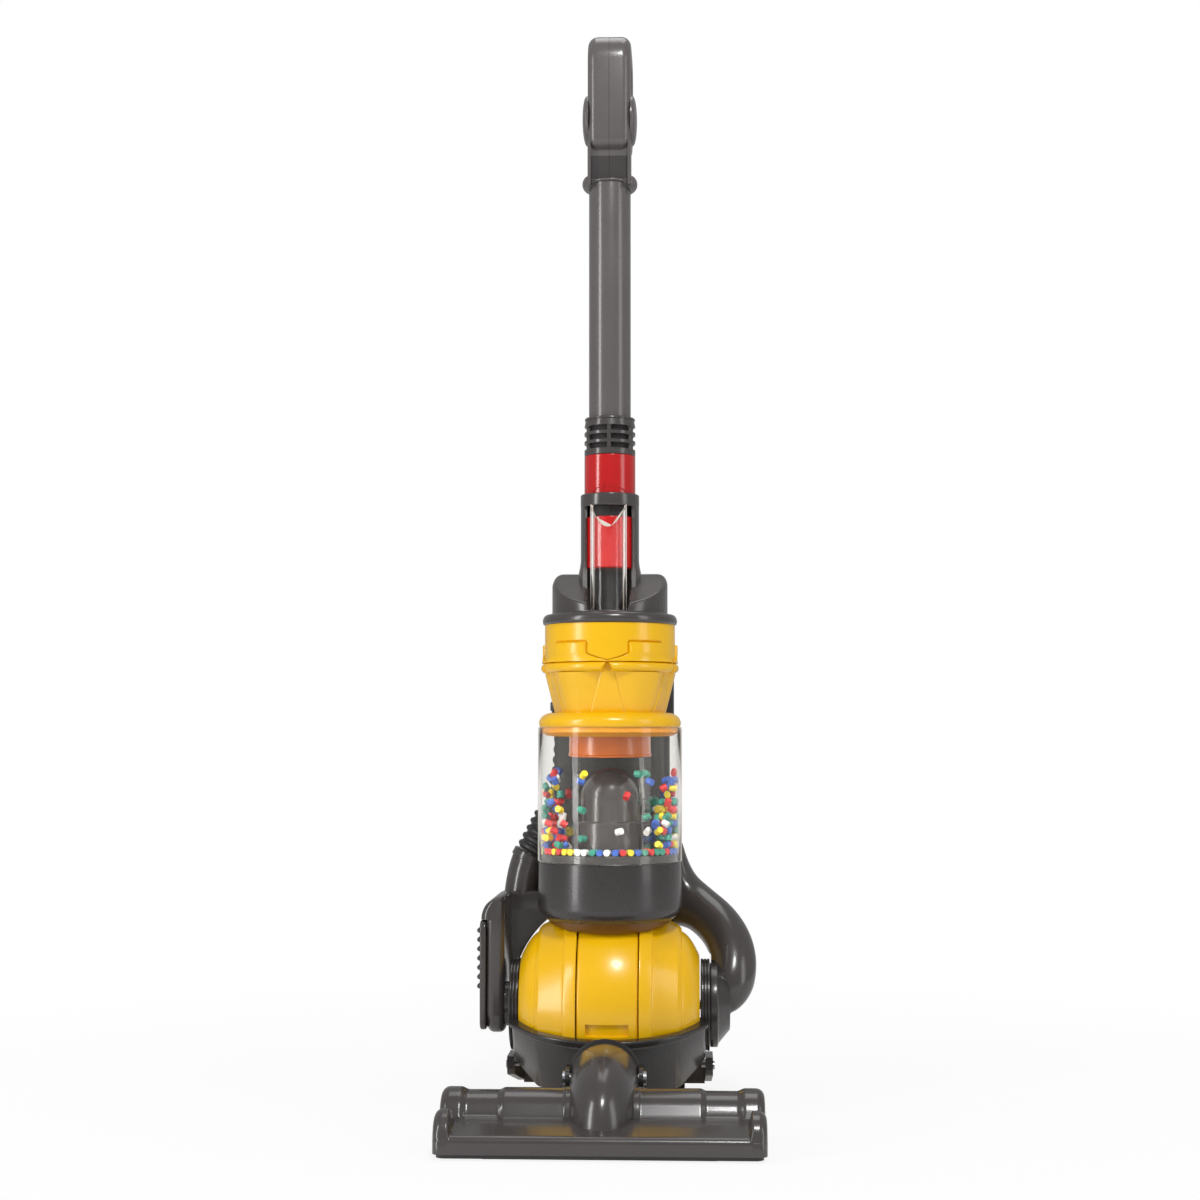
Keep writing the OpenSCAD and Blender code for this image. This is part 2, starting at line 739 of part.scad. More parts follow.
module axle() color(steel) at_axle() translate([-housing_out + cover_t, 0, axle_z]) along_x()
    cylinder(r = axle_r, h = housing_out - cover_t + disc_out + hub_out);

// Yoke
function yoke_curve(r, n = 16) = [for (i = [-n:n]) let (x = shoulder_x*i/n) [sqrt(r*r - x*x), x]];

module yoke_strip(r, from_low, to_low) rotate([0, 0, from_low - 90]) rotate_extrude(angle = to_low - from_low)
    polygon(concat([[disc_r - 6, -side_out], [side_r, -side_out]], yoke_curve(r),
                   [[side_r, side_out], [disc_r - 6, side_out]]));

module yoke() color(dark) at_axle() difference() {
    union() {
        translate([0, 0, axle_z]) along_x() {
            yoke_strip(yoke_r, rim_low, yoke_low);
            yoke_strip(yoke_r + lip_rise, rim_low, rim_low + lip_deg);
            for (side = [0, 1]) mirror([0, 0, side])
                translate([0, 0, disc_in]) cylinder(r = disc_r, h = disc_t);
        }
        for (side = [0, 1]) mirror([side, 0, 0]) side_plate(disc_in, side_t) polygon(concat(
            [[leg_y0 + tab_d, leg_z0 + tab_rise], [leg_y0 + tab_d, axle_z - disc_r/2],
             [-disc_r*0.8, axle_z - disc_r/2]],
            arc([leg_y0 + leg_round, leg_z0 + leg_round + tab_rise], leg_round, 180, 270, 4)));
        translate([0, -boss_back(), neck_z]) rotate([90, 0, 0])
            cylinder(r = boss_r, h = -boss_front - boss_back());
    }
    ball_room(yoke_gap);
    translate([-far/2, -far - floor_ahead, 0]) cube([far, far, yoke_floor]);
    translate([-disc_in, 0, axle_z]) along_x() cylinder(r = disc_r + bore_rim, h = 2*disc_in);
    translate([0, 0, neck_z]) rotate([90, 0, 0]) cylinder(r = shank_r + run_fit, h = far);
    translate([-far/2, 0, axle_z]) along_x() cylinder(r = axle_r + run_fit, h = far);
    for (side = [0, 1]) mirror([side, 0, 0]) stand_screw_at()
        cylinder(r = screw_r + seat_fit, h = far, center = true);
}
function boss_back() = ball_r - boss_in;

// Stand
module stand_screw_at() translate([side_out, leg_y0 + stand_screw_in, leg_z0 + leg_h/2]) along_x() children();

module stand_leg() side_plate(side_out, leg_t) polygon(concat(
    arc([leg_y0 + leg_round, leg_z0 + leg_round], leg_round, 180, 270, 4),
    [[stand_reach - foot_round, crossbar_z]],
    arc([stand_reach - foot_round, crossbar_z + foot_round], foot_round, -90, 0, 4),
    [[stand_reach, crossbar_z + crossbar_h], [stand_reach - crossbar_d, crossbar_z + crossbar_h],
     [leg_y0 + leg_head, leg_z0 + leg_h], [leg_y0, leg_z0 + leg_h]]));

module rear_stand() color(dark) at_axle() difference() {
    union() {
        for (side = [0, 1]) mirror([side, 0, 0]) stand_leg();
        translate([-side_out - eps, stand_reach - crossbar_d, crossbar_z])
            cube([2*side_out + 2*eps, crossbar_d, crossbar_h]);
    }
    for (x = [-roller_span/2, roller_span/2])
        translate([x, roller_y, roller_r]) along_x()
            cylinder(r = roller_r + 1, h = roller_w + 2*slide_fit, center = true);
    translate([0, roller_y, roller_r]) along_x()
        cylinder(r = roller_axle_r + seat_fit, h = roller_span + roller_w + 2*roller_grip + 2*end_fit, center = true);
    for (side = [0, 1]) mirror([side, 0, 0]) stand_screw_at()
        cylinder(r = screw_r + seat_fit, h = far, center = true);
}

module stand_screws() color(steel) at_axle() for (side = [0, 1]) mirror([side, 0, 0])
    stand_screw_at() translate([0, 0, leg_t]) mirror([0, 0, 1]) screw(leg_t + side_t - 0.4);

module roller_axle() color(steel) at_axle() translate([0, roller_y, roller_r]) along_x()
    cylinder(r = roller_axle_r, h = roller_span + roller_w + 2*roller_grip, center = true);

module roller(x) color("black") at_axle() translate([x - roller_w/2, roller_y, roller_r]) along_x()
    rotate_extrude() polygon([[roller_axle_r + run_fit, 0], [roller_r - 0.8, 0], [roller_r, 0.8],
        [roller_r, roller_w - 0.8], [roller_r - 0.8, roller_w], [roller_axle_r + run_fit, roller_w]]);
module left_roller() roller(-roller_span/2);
module right_roller() roller(roller_span/2);

// Bin
module ball_saddle() color(yellow) difference() {
    at_bin() rotate_extrude() polygon([[0, saddle_z], [saddle_low_r, saddle_z], [saddle_r, base_z],
        [saddle_r, base_z + 8], [0, base_z + 8]]);
    at_axle() ball_room(saddle_gap);
}

module bin_base() color(dark) difference() {
    union() {
        at_bin() rotate_extrude() polygon(concat(
            [[saddle_r + seat_fit, base_z + 8], [bin_r - base_wall, base_z + 8],
             [bin_r - base_wall, base_top - floor_t], [0, base_top - floor_t],
             [0, bin_floor], [bin_inner - seat_fit, bin_floor],
             [bin_inner - seat_fit, base_top], [bin_r, base_top]],
            [for (p = arc([bin_r - base_corner, base_z + base_corner], base_corner, 0, -85, 16))
                if (p[0] > saddle_r + seat_fit) p],
            [[saddle_r + seat_fit, base_z + base_corner - sqrt(pow(base_corner, 2)
                - pow(saddle_r + seat_fit - bin_r + base_corner, 2))]]));
        at_bin(base_z + base_corner) translate([-base_tab_w/2, bin_r - base_wall - base_tab_in, 0])
            cube([base_tab_w, base_wall + base_tab_in + seat_fit, base_h - base_corner - base_tab_low]);
    }
    at_bin() cylinder(r = shaft_r + 1, h = far);
}

module clear_bin() color(clear) at_bin(base_top) ring(bin_r, bin_inner, bin_h);

module bin_collar() color(yellow) at_bin() rotate_extrude() polygon(concat(
    [[0, bin_top], [bin_inner - seat_fit - band_wall, bin_top],
     [bin_inner - seat_fit - band_wall, bin_top - collar_band], [bin_inner - seat_fit, bin_top - collar_band],
     [bin_inner - seat_fit, bin_top], [bin_r - 0.6, bin_top]],
    arc([bin_r - 0.6 - collar_round, collar_top - collar_round], collar_round, 0, 90, 8), [[0, collar_top]]));

module bin_baffle() color(yellow) at_bin() rotate_extrude() polygon([
    [0, bin_top - 2], [0, bin_top], [baffle_r, bin_top], [baffle_r, bin_top - baffle_h],
    [baffle_r - 2, bin_top - baffle_h], [baffle_r - 2, bin_top - 2]]);

module bin_dome() color(grey) at_bin(bin_floor) difference() {
    rotate_extrude() polygon(concat([[0, 0], [foot_r, 0], [foot_r, foot_h]],
        arc([0, cover_h - cover_r], cover_r, 0, 90, 16)));
    translate([0, 0, -eps]) cylinder(r = cover_r - cover_wall, h = cover_h - cover_r);
    translate([0, 0, cover_h - cover_r - eps]) intersection() {
        sphere(r = cover_r - cover_wall);
        cylinder(r = cover_r, h = cover_r);
    }
}

// Beads: a ring on the bin's floor and a heap on each side, five colours in turn
bead_gap = 0.4;
heap_deg = 46;
heap_step = 7;
bead_pitch = bead + bead_gap;
bead_ring_r = bin_inner - bead/2 - bead_gap;
beads_round = floor(180/asin(bead_pitch/2/bead_ring_r));
module beads(colour, which) color(colour) at_bin(bin_floor)
    for (layer = [0:bead_layers - 1], i = [0:beads_round - 1])
    let (a = 360*i/beads_round, off = min(abs(a), abs(a - 360), abs(a - 180)),
         shown = (i*7 + layer*3) % 5 == which)
        if (shown && (layer == 0 || off < heap_deg - heap_step*layer))
            rotate([0, 0, a]) translate([bead_ring_r, 0, layer*bead_pitch])
                cylinder(r = bead/2, h = bead, $fn = 16);
module blue_beads() beads([0.2, 0.36, 0.7], 0);
module red_beads() beads([0.8, 0.16, 0.16], 1);
module yellow_beads() beads([0.95, 0.85, 0.2], 2);
module white_beads() beads([0.95, 0.95, 0.95], 3);
module green_beads() beads([0.15, 0.52, 0.44], 4);

// Drive
fan_hub_r = shaft_r + 2.8;
impeller_rise = 4;
blade_t = 1.2;
module motor() color(steel) at_bin(base_top - floor_t - motor_l) ring(motor_r, shaft_r + run_fit, motor_l);

module impeller() color("white") at_bin() {
    translate([0, 0, base_top - floor_t - motor_l/2])
        cylinder(r = shaft_r, h = motor_l/2 + floor_t + floor_rise + impeller_rise + impeller_h/2);
    translate([0, 0, bin_floor + impeller_rise]) {
        cylinder(r = impeller_r, h = blade_t*1.5);
        cylinder(r = fan_hub_r, h = impeller_h);
        for (i = [0:blades - 1]) rotate([0, 0, 360*i/blades])
            translate([fan_hub_r - blade_t, -blade_t/2, blade_t/2])
            cube([impeller_r - fan_hub_r, blade_t, impeller_h - blade_t]);
    }
}

// Cyclone pack
cone_high_r = ring_r - 1;
module cyclone_pack() color(yellow) at_bin() difference() {
    union() {
        rotate_extrude() polygon(concat(
            [[0, collar_top], [cone_low_r - cone_rise, collar_top], [cone_high_r - cone_proud, cone_top]],
            [[ring_r - ring_chamfer, cone_top], [ring_r, cone_top + ring_chamfer], [ring_r, ring_top],
             [drum_r, ring_top], [drum_r, drum_top], [0, drum_top]]));
        for (i = [0:cyclones - 1]) rotate([0, 0, 360*(i + 0.5)/cyclones - 90]) {
            translate([cone_axis, 0, collar_top])
                cylinder(r1 = cone_low_r - cone_axis, r2 = cone_high_r - cone_axis, h = cone_h + 1);
            translate([ring_r - cyclone_r - cyclone_inset, 0, ring_top - ring_h/2])
                cylinder(r = cyclone_r, h = ring_h/2 + cyclone_h);
        }
    }
    translate([0, 0, collar_top - eps])
        cylinder(r = cone_low_r - cone_rise - pack_wall, h = drum_top - collar_top - pack_wall);
}

// Shoulder and cradle
cap_slope = (cap_h - cap_front_h)/(cap_r - cap_slope_end);
heel_half = cap_r - 4;
heel_y = drum_r + seat_fit;
heel_back = spine_back - bin_y - 6;

module heel(y0, z0) front_plate(y0, heel_back - y0) polygon(concat([[heel_half, z0]],
    arc([heel_half - cap_round, cap_top - cap_round], cap_round, 0, 90, 6),
    arc([-heel_half + cap_round, cap_top - cap_round], cap_round, 90, 180, 6), [[-heel_half, z0]]));

module shoulder_cap() color(grey) at_bin() difference() {
    union() {
        rotate_extrude() polygon(concat([[0, drum_top], [flange_r, drum_top]],
            arc([flange_r - 3, flange_top - 3], 3, 0, 90, 6), [[cap_r, flange_top]],
            arc([cap_r - cap_round, cap_top - cap_round], cap_round, 0, 90, 8), [[0, cap_top]]));
        heel(cap_slope_end, flange_top - 1);
        heel(heel_y, spine_top);
    }
    side_plate(-far/2, far) polygon([[-cap_r - 1, flange_top + cap_front_h - cap_slope],
        [-cap_slope_end, cap_top],
        [-cap_slope_end, cap_top + 1], [-cap_r - 1, cap_top + 1]]);
    translate([0, 0, drum_top - 1]) cylinder(r = cradle_r - 4, h = cap_h);
    translate([0, 0, flange_top]) cylinder(r = cradle_r + seat_fit, h = far);
    translate([-duct_r - seat_fit, -far - duct_back + 1, flange_top]) cube([2*duct_r + 2*seat_fit, far, far]);
    translate([-heel_half + cap_wall, heel_y + cap_wall, spine_top - 1])
        cube([2*heel_half - 2*cap_wall, heel_back - heel_y - 2*cap_wall, cap_top - spine_top + 1 - cap_wall]);
}

module wand_cradle() color(grey) at_bin() difference() {
    translate([0, 0, flange_top]) ring(cradle_r, red_r + slide_fit, cradle_top - flange_top);
    translate([-window_w/2, -far, flange_top - eps])
        cube([window_w, far, cradle_top - flange_top - cradle_ring_h]);
}

vent_rows = 3;
vent_ribs = 8;
vent_rib = 1.6;
vent_start = 4.8;
vent_pitch = 5.76;
spigot_l = 14;
side_cap_round = 2.4;
scoop_r = 18;
scoop_ahead = 6;
module clear_duct() color(clear) at_bin(flange_top) difference() {
    linear_extrude(cradle_top - cradle_ring_h - flange_top - slide_fit) difference() {
        duct_outline(duct_r);
        duct_outline(duct_r - duct_wall);
        translate([-far/2, -duct_back]) square([far, far]);
    }
    translate([0, -duct_ahead - scoop_ahead, cradle_top - flange_top]) along_x()
        cylinder(r = scoop_r, h = far, center = true);
}
module duct_outline(r) {
    translate([0, -duct_ahead + duct_r]) circle(r = r);
    translate([-r, -duct_ahead + duct_r]) square([2*r, duct_ahead]);
}

// Wand
module red_tube() color(red) at_bin(red_bottom) rotate_extrude() polygon([
    [0, 0], [red_r - 1, 0], [red_r, 1], [red_r, red_h], [red_r - red_wall, red_h],
    [red_r - red_wall, red_wall],
    [0, red_wall]]);

module vent_collar() color(grey) at_bin(red_top) difference() {
    ring(red_r, tube_r - tube_wall - 1, vent_h);
    translate([0, 0, vent_h - tube_seat]) cylinder(r = tube_r + seat_fit, h = vent_h);
    for (i = [0:vent_rows - 1]) translate([0, 0, vent_start + vent_pitch*i]) difference() {
        ring(red_r + 1, red_r - vent_deep, vent_slot);
        for (k = [0:vent_ribs - 1]) rotate([0, 0, 360*k/vent_ribs])
            translate([0, -vent_rib/2, -1]) cube([far, vent_rib, vent_slot + 2]);
    }
}

module wand_tube() color(grey) at_bin(vent_top - tube_seat)
    ring(tube_r, tube_r - tube_wall, tube_h + tube_seat);

// Handle, split down its middle; outline drawn in the YZ plane about the wand's axis
loop_y0 = -loop_ahead;
loop_y1 = loop_y0 + loop_d;
hole_lo = [loop_y0 + grip_t, loop_bottom + loop_foot];
hole_hi = [loop_y1 - grip_t, loop_top - grip_t];
handle_screw_yz = [[0, loop_bottom + loop_foot/2 + 2], [loop_y1 - grip_t/2, loop_bottom + loop_foot + 8]];
module loop_outline(inset) {
    difference() {
        polygon(concat(arc([loop_y1 - 20, loop_top - 20], 20 - inset, 0, 90),
            arc([loop_y0 + 18, loop_top - 18], 18 - inset, 90, 180),
            arc([loop_y0 + 12, loop_bottom + 12], 12 - inset, 180, 270),
            arc([loop_y1 - 34, loop_bottom + 34], 34 - inset, 270, 360)));
        polygon(box_arcs(hole_lo - [inset, inset], hole_hi + [inset, inset], 8 + inset));
    }
}

module handle_shell(right) {
    half = handle_w/2;
    difference() {
        union() {
            difference() {
                side_plate(0, half) loop_outline(0);
                side_plate(-eps, half - handle_wall) loop_outline(handle_wall);
            }
            for (p = handle_screw_yz) translate([0, p[0], p[1]]) along_x()
                cylinder(r = screw_head_r + 1.4, h = half);
            intersection() {
                translate([0, 0, tube_top]) cylinder(r = tube_r, h = handle_neck + 2);
                translate([0, -tube_r, tube_top]) cube([neck_w/2, 2*tube_r, far]);
            }
            intersection() {
                translate([0, 0, tube_top - spigot_l])
                    cylinder(r = tube_r - tube_wall - seat_fit, h = spigot_l + eps);
                translate([0, -tube_r, 0]) cube([far, 2*tube_r, 2*far]);
            }
        }
        for (p = handle_screw_yz) translate([-eps, p[0], p[1]]) along_x() {
            cylinder(r = screw_r + seat_fit, h = right ? far : half - handle_wall);
            if (right) translate([0, 0, half - 3]) cylinder(r = screw_head_r + seat_fit, h = far);
        }
    }
}
module handle_right_shell() color(grey) at_bin() handle_shell(true);
module handle_left_shell() color(grey) at_bin() mirror([1, 0, 0]) handle_shell(false);

module handle_ring() color(grey) at_bin(tube_top - handle_ring_h/2) rotate_extrude() polygon(concat(
    [[tube_r + seat_fit, 0]], arc([handle_ring_r - 3, 3], 3, -90, 0, 5),
    arc([handle_ring_r - 3, handle_ring_h - 3], 3, 0, 90, 5), [[tube_r + seat_fit, handle_ring_h]]));

module handle_side_caps() color(grey) at_bin() for (side = [0, 1]) mirror([side, 0, 0])
    translate([handle_w/2, handle_screw_yz[0][0], handle_screw_yz[0][1]])
        along_x() rotate_extrude() polygon(concat(
        [[0, 0], [side_cap_r, 0], [side_cap_r, side_cap_h - side_cap_round]],
        arc([side_cap_r - side_cap_round, side_cap_h - side_cap_round], side_cap_round, 0, 90, 5),
        [[0, side_cap_h]]));

module handle_screws() color(steel) at_bin() for (p = handle_screw_yz)
    translate([handle_w/2 - 3, p[0], p[1]]) rotate([0, -90, 0]) screw(handle_w - 3 - handle_wall - 2);

// Right duct: from the spine's side, out and down to the hub
pocket_inset = 6;
pocket_wall = 2.4;
cover_rib_low = 28;
cover_rib_high = 6;
cover_rib_in = 8;
duct_root_in = 4;
duct_rise = 21;
duct_drop = 7;
duct_pull_out = [34, 2, -2];
duct_pull_up = [0, 6, 42];
duct_steps = 20;
root_steps = 8;
duct_start = [spine_half - duct_root_in, cover_y + spine_d/2, base_z + duct_rise];
duct_end = [disc_out + duct_out - knuckle_r, 0, axle_z + duct_drop];
duct_path = [for (i = [0:duct_steps]) let (t = i/duct_steps, s = 1 - t) s*s*s*duct_start
    + 3*s*s*t*(duct_start + duct_pull_out) + 3*s*t*t*(duct_end + duct_pull_up) + t*t*t*duct_end];
duct_high = [for (i = [0:duct_steps]) duct_tube_r + (root_h - duct_tube_r)*pow(1 - min(i/root_steps, 1), 2)];
duct_deep = [for (i = [0:duct_steps]) duct_tube_r + (root_d - duct_tube_r)*pow(1 - min(i/root_steps, 1), 2)];

module hub_form(gap) translate([disc_out + hub_gap, 0, axle_z]) along_x() rotate_extrude() polygon([
    [0, -gap], [hub_flange_r + gap, -gap], [hub_flange_r + gap, hub_flange_t + gap], [hub_end_r + gap, hub_out + gap],
    [0, hub_out + gap]]);

module hub_cone() color(dark) at_axle() difference() {
    hub_form(0);
    translate([0, 0, axle_z]) along_x() cylinder(r = axle_r + seat_fit, h = far);
}

module right_duct() color(grey) at_axle() difference() {
    union() {
        sweep(duct_path, duct_high, duct_deep);
        translate(duct_end) sphere(r = knuckle_r);
    }
    sweep(duct_path, [for (h = duct_high) h - right_duct_wall], [for (d = duct_deep) d - right_duct_wall]);
    hub_form(seat_fit);
    translate([-far, -far, -far]) cube([far + disc_out + hub_gap, 2*far, far + axle_z + disc_r + disc_clear]);
    translate([-far, -far, 0]) cube([far + spine_half, 2*far, far]);
}

// Left housing with its bridge to the spine, and the ribbed cover over its side
module left_housing() color(grey) at_axle() difference() {
    union() {
        intersection() {
            side_plate(-housing_out, housing_out - housing_in) polygon(concat(
                arc([0, axle_z], housing_r, 200, 330, 10),
                [[hose_y + hose_r, bridge_z], [hose_y + hose_r, housing_top], [-housing_r + 2, housing_top]]));
            front_plate(-far/2, far) polygon(concat([[-housing_in, 0], [-housing_in, housing_top]],
                arc([-housing_out + housing_round, housing_top - housing_round], housing_round, 90, 180, 8),
                [[-housing_out, 0]]));
        }
        translate([-housing_in - eps, hose_y - hose_r, bridge_z])
            cube([housing_in + box_left + eps, 2*hose_r, bridge_t]);
        front_plate(hose_y - hose_r, web_t) polygon(concat(
            [[-housing_in - 1, bridge_z + 1], [-housing_in - 1, axle_z + web_r*sin(web_low)]],
            arc([0, axle_z], web_r, 180 - web_low, 180 - web_high, 12),
            [[-web_r*cos(web_high), bridge_z + 1]]));
        translate([-housing_in - eps, 0, axle_z]) along_x()
            cylinder(r = housing_r - 4, h = housing_in - disc_out - 1);
    }
    translate([-far/2, 0, axle_z]) along_x() cylinder(r = axle_r + seat_fit, h = far/2);
    translate([-housing_out - eps, -cover_d/2 + pocket_inset, axle_z + 2*pocket_inset])
        cube([housing_out - housing_in - pocket_wall, cover_d - 2*pocket_inset,
              cover_z + cover_tall - axle_z - 3*pocket_inset]);
}

module side_cover() color(grey) at_axle() {
    difference() {
        side_plate(cover_x - cover_t, cover_t) polygon(box_arcs(
            [-cover_d/2, cover_z], [cover_d/2, cover_z + cover_tall], 6));
        translate([cover_x - cover_t/2, 0, axle_z]) along_x() cylinder(r = axle_r + slide_fit, h = far);
    }
    for (i = [0:cover_ribs - 1])
        translate([cover_x - cover_t, 0, cover_z + cover_rib_low
            + i*(cover_tall - cover_rib_low - cover_rib_high)/(cover_ribs - 1)])
        along_y() cylinder(r = cover_rib, h = cover_d - cover_rib_in, center = true);
}

// Hose, its elbow and its cuff
hose_foot = [-hose_foot_x, hose_y, hose_z0];
function hose_at(s) = let (bend = hose_bend*hose_lean*PI/180, u = [sin(hose_lean), 0, cos(hose_lean)])
    s < hose_end ? hose_foot + u*s :
    s < hose_end + bend ? let (a = hose_lean - (s - hose_end)/hose_bend*180/PI)
        hose_foot + u*hose_end + hose_bend*[cos(a) - cos(hose_lean), 0, sin(hose_lean) - sin(a)] :
    hose_foot + u*hose_end + hose_bend*[1 - cos(hose_lean), 0, sin(hose_lean)] + [0, 0, s - hose_end - bend];
hose_length = 2*hose_end + hose_bend*hose_lean*PI/180;

module ribbed_hose() color([0.16, 0.16, 0.16]) at_axle() {
    steps = 2*hose_ribs;
    path = [for (i = [0:steps]) hose_at(hose_length*i/steps)];
    radii = [for (i = [0:steps]) hose_r - (i % 2 == 0 ? hose_rib : 0)];
    difference() {
        sweep(path, radii, radii, 16);
        sweep([for (i = [-1:steps + 1]) hose_at(hose_length*i/steps)], [for (i = [-1:steps + 1]) hose_bore],
              [for (i = [-1:steps + 1]) hose_bore], 16);
    }
}

module hose_elbow() color(grey) at_axle() {
    lean = [sin(hose_lean), 0, cos(hose_lean)];
    knee = hose_foot - lean*(hose_z0 - housing_top)*0.45;
    foot = [knee[0] - 2, hose_y, housing_top - 4];
    difference() {
        sweep([for (i = [0:8]) let (t = i/8, s = 1 - t) s*s*foot + 2*s*t*knee + t*t*hose_foot],
              [for (i = [0:8]) hose_r], [for (i = [0:8]) hose_r], 24);
        sweep([for (i = [-1:9]) let (t = i/8, s = 1 - t) s*s*foot + 2*s*t*knee + t*t*hose_foot],
              [for (i = [-1:9]) hose_bore], [for (i = [-1:9]) hose_bore], 24);
        translate([-far, 0, 0]) cube([far, far, housing_top]);
        translate(hose_foot) rotate([0, hose_lean, 0]) translate([-far/2, -far/2, 0]) cube(far);
    }
}

module hose_cuff() color(dark) at_axle() translate([-hose_left(), hose_y, hose_top]) {
    ring(hose_r, hose_bore, cuff_h);
}
cuff_h = 6;

// Spine
module spine_outline(inset) polygon(concat(
    [[spine_half - inset, spine_z + inset]],
    arc([spine_half - spine_round, spine_top - spine_round], spine_round - inset, 0, 90, 8),
    arc([-spine_half + spine_round, spine_top - spine_round], spine_round - inset, 90, 180, 8),
    [[-spine_half + inset, hose_top + cuff_h + inset], [box_left + inset, hose_top + cuff_h + inset],
     [box_left + inset, spine_z + inset]]));

spine_screw_in = 5;
spine_screw_low = 8;
spine_screw_high = 14;
spine_screw_xz = [
    [spine_half - spine_screw_in, spine_z + spine_screw_low], [box_left + spine_screw_in, spine_z + spine_screw_low],
    [spine_half - spine_screw_in, hose_top + spine_screw_high], [-spine_half + 8, hose_top + spine_screw_high + 2]];

module spine_front() color(dark) at_axle() difference() {
    front_plate(panel_y, panel_t) polygon(concat([[spine_half, spine_z]],
        arc([spine_half - spine_round, spine_top - spine_round], spine_round, 0, 90, 8),
        arc([-spine_half + spine_round, spine_top - spine_round], spine_round, 90, 180, 8),
        [[-spine_half, spine_z]]));
    for (p = spine_screw_xz) translate([p[0], panel_y + 1, p[1]]) along_y()
        cylinder(r = screw_r + seat_fit, h = far);
}

module spine_rear() color(dark) at_axle() difference() {
    union() {
        difference() {
            front_plate(cover_y, spine_d) spine_outline(0);
            front_plate(cover_y - eps, spine_d - spine_wall + eps) spine_outline(spine_wall);
        }
        for (p = spine_screw_xz) translate([p[0], cover_y, p[1]]) along_y()
            cylinder(r = screw_head_r + 1.2, h = spine_d - eps);
    }
    for (p = spine_screw_xz) translate([p[0], 0, p[1]]) along_y() {
        cylinder(r = screw_r + seat_fit, h = far);
        translate([0, 0, cover_y + 8]) cylinder(r = screw_head_r + seat_fit, h = far);
    }
    translate([cell_x - door_w/2 - seat_fit, spine_back - spine_wall - 1, door_z - seat_fit])
        cube([door_w + 2*seat_fit, far, door_h + 2*seat_fit]);
    translate([button_x, spine_back - spine_wall - 1, button_z]) along_y()
        cylinder(r = button_r + slide_fit, h = far);
    for (i = [-2:2], k = [-2:2]) if (i*i + k*k < 6) translate([speaker_x + i*4, 0, speaker_z + k*4]) along_y()
        cylinder(r = 1, h = far);
}
speaker_x = 14;
board_w = 40;
board_t = 1.6;
board_up = 10;
chip_w = 6;
chip_t = 2.4;
chip_pitch = 10;
cone_t = 3;
magnet_h = 7;
button_proud = 0.6;
button_in = 0.5;
button_lip = 1.6;

module spine_screws() color(steel) at_axle() for (p = spine_screw_xz)
    translate([p[0], cover_y + 8, p[1]]) rotate([90, 0, 0]) screw(8 + panel_t - 1.4);

module battery_door() color(dark) at_axle() translate([cell_x - door_w/2, spine_back - door_t, door_z])
    cube([door_w, door_t, door_h]);

module cells_pack() color([0.85, 0.6, 0.25]) at_axle() for (i = [0:cells - 1])
    translate([cell_x + (i - (cells - 1)/2)*cell_pitch, cell_y, cell_z]) {
        cylinder(r = cell_dia/2, h = cell_l - 1);
        cylinder(r = 2.6, h = cell_l);
    }

module battery_contacts() color(steel) at_axle() for (z = [cell_z - contact_t, cell_z + cell_l])
    translate([cell_x - door_w/2 + 2, cell_y - cell_dia/2, z]) cube([door_w - 4, cell_dia, contact_t]);

module circuit_board() color([0.1, 0.4, 0.2]) at_axle() {
    translate([cell_x - board_w/2, cover_y, cell_z + cell_l + board_up]) cube([board_w, board_t, board_w]);
    for (i = [0:2]) translate([cell_x + chip_pitch*i - 12, cover_y + board_t - eps, cell_z + cell_l + 2*board_up])
        cube([chip_w, chip_t, chip_w + 2 + chip_w*i/2]);
}

module speaker() color("black") at_axle()
    translate([speaker_x, spine_back - spine_wall, speaker_z]) rotate([90, 0, 0]) {
    cylinder(r = speaker_r, h = cone_t);
    cylinder(r = speaker_r*0.6, h = magnet_h);
}

module power_button() color(red) at_axle() translate([button_x, spine_back + button_travel + button_proud, button_z])
    rotate([90, 0, 0]) {
        cylinder(r = button_r, h = button_travel + button_proud + spine_wall + button_in);
        translate([0, 0, button_travel + button_proud + spine_wall + button_in - eps])
            cylinder(r = button_r + button_lip, h = button_lip);
    }

head_top_shell();
sole_plate();
sole_felts();
head_screws();
neck_dome();
swivel_collar();
neck_pins();
yoke();
rear_stand();
stand_screws();
roller_axle();
left_roller();
right_roller();
axle();
ball_left_shell();
ball_right_shell();
ball_band();
ball_saddle();
bin_base();
clear_bin();
bin_collar();
bin_baffle();
bin_dome();
blue_beads();
red_beads();
yellow_beads();
white_beads();
green_beads();
motor();
impeller();
cyclone_pack();
shoulder_cap();
wand_cradle();
clear_duct();
red_tube();
vent_collar();
wand_tube();
handle_left_shell();
handle_right_shell();
handle_ring();
handle_side_caps();
handle_screws();
right_duct();
hub_cone();
left_housing();
side_cover();
hose_elbow();
ribbed_hose();
hose_cuff();
spine_front();
spine_rear();
battery_door();
cells_pack();
battery_contacts();
circuit_board();
speaker();
power_button();
spine_screws();
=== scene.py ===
import json
from functools import partial
from math import asin, atan2, cos, pi, radians, sin, sqrt, tan

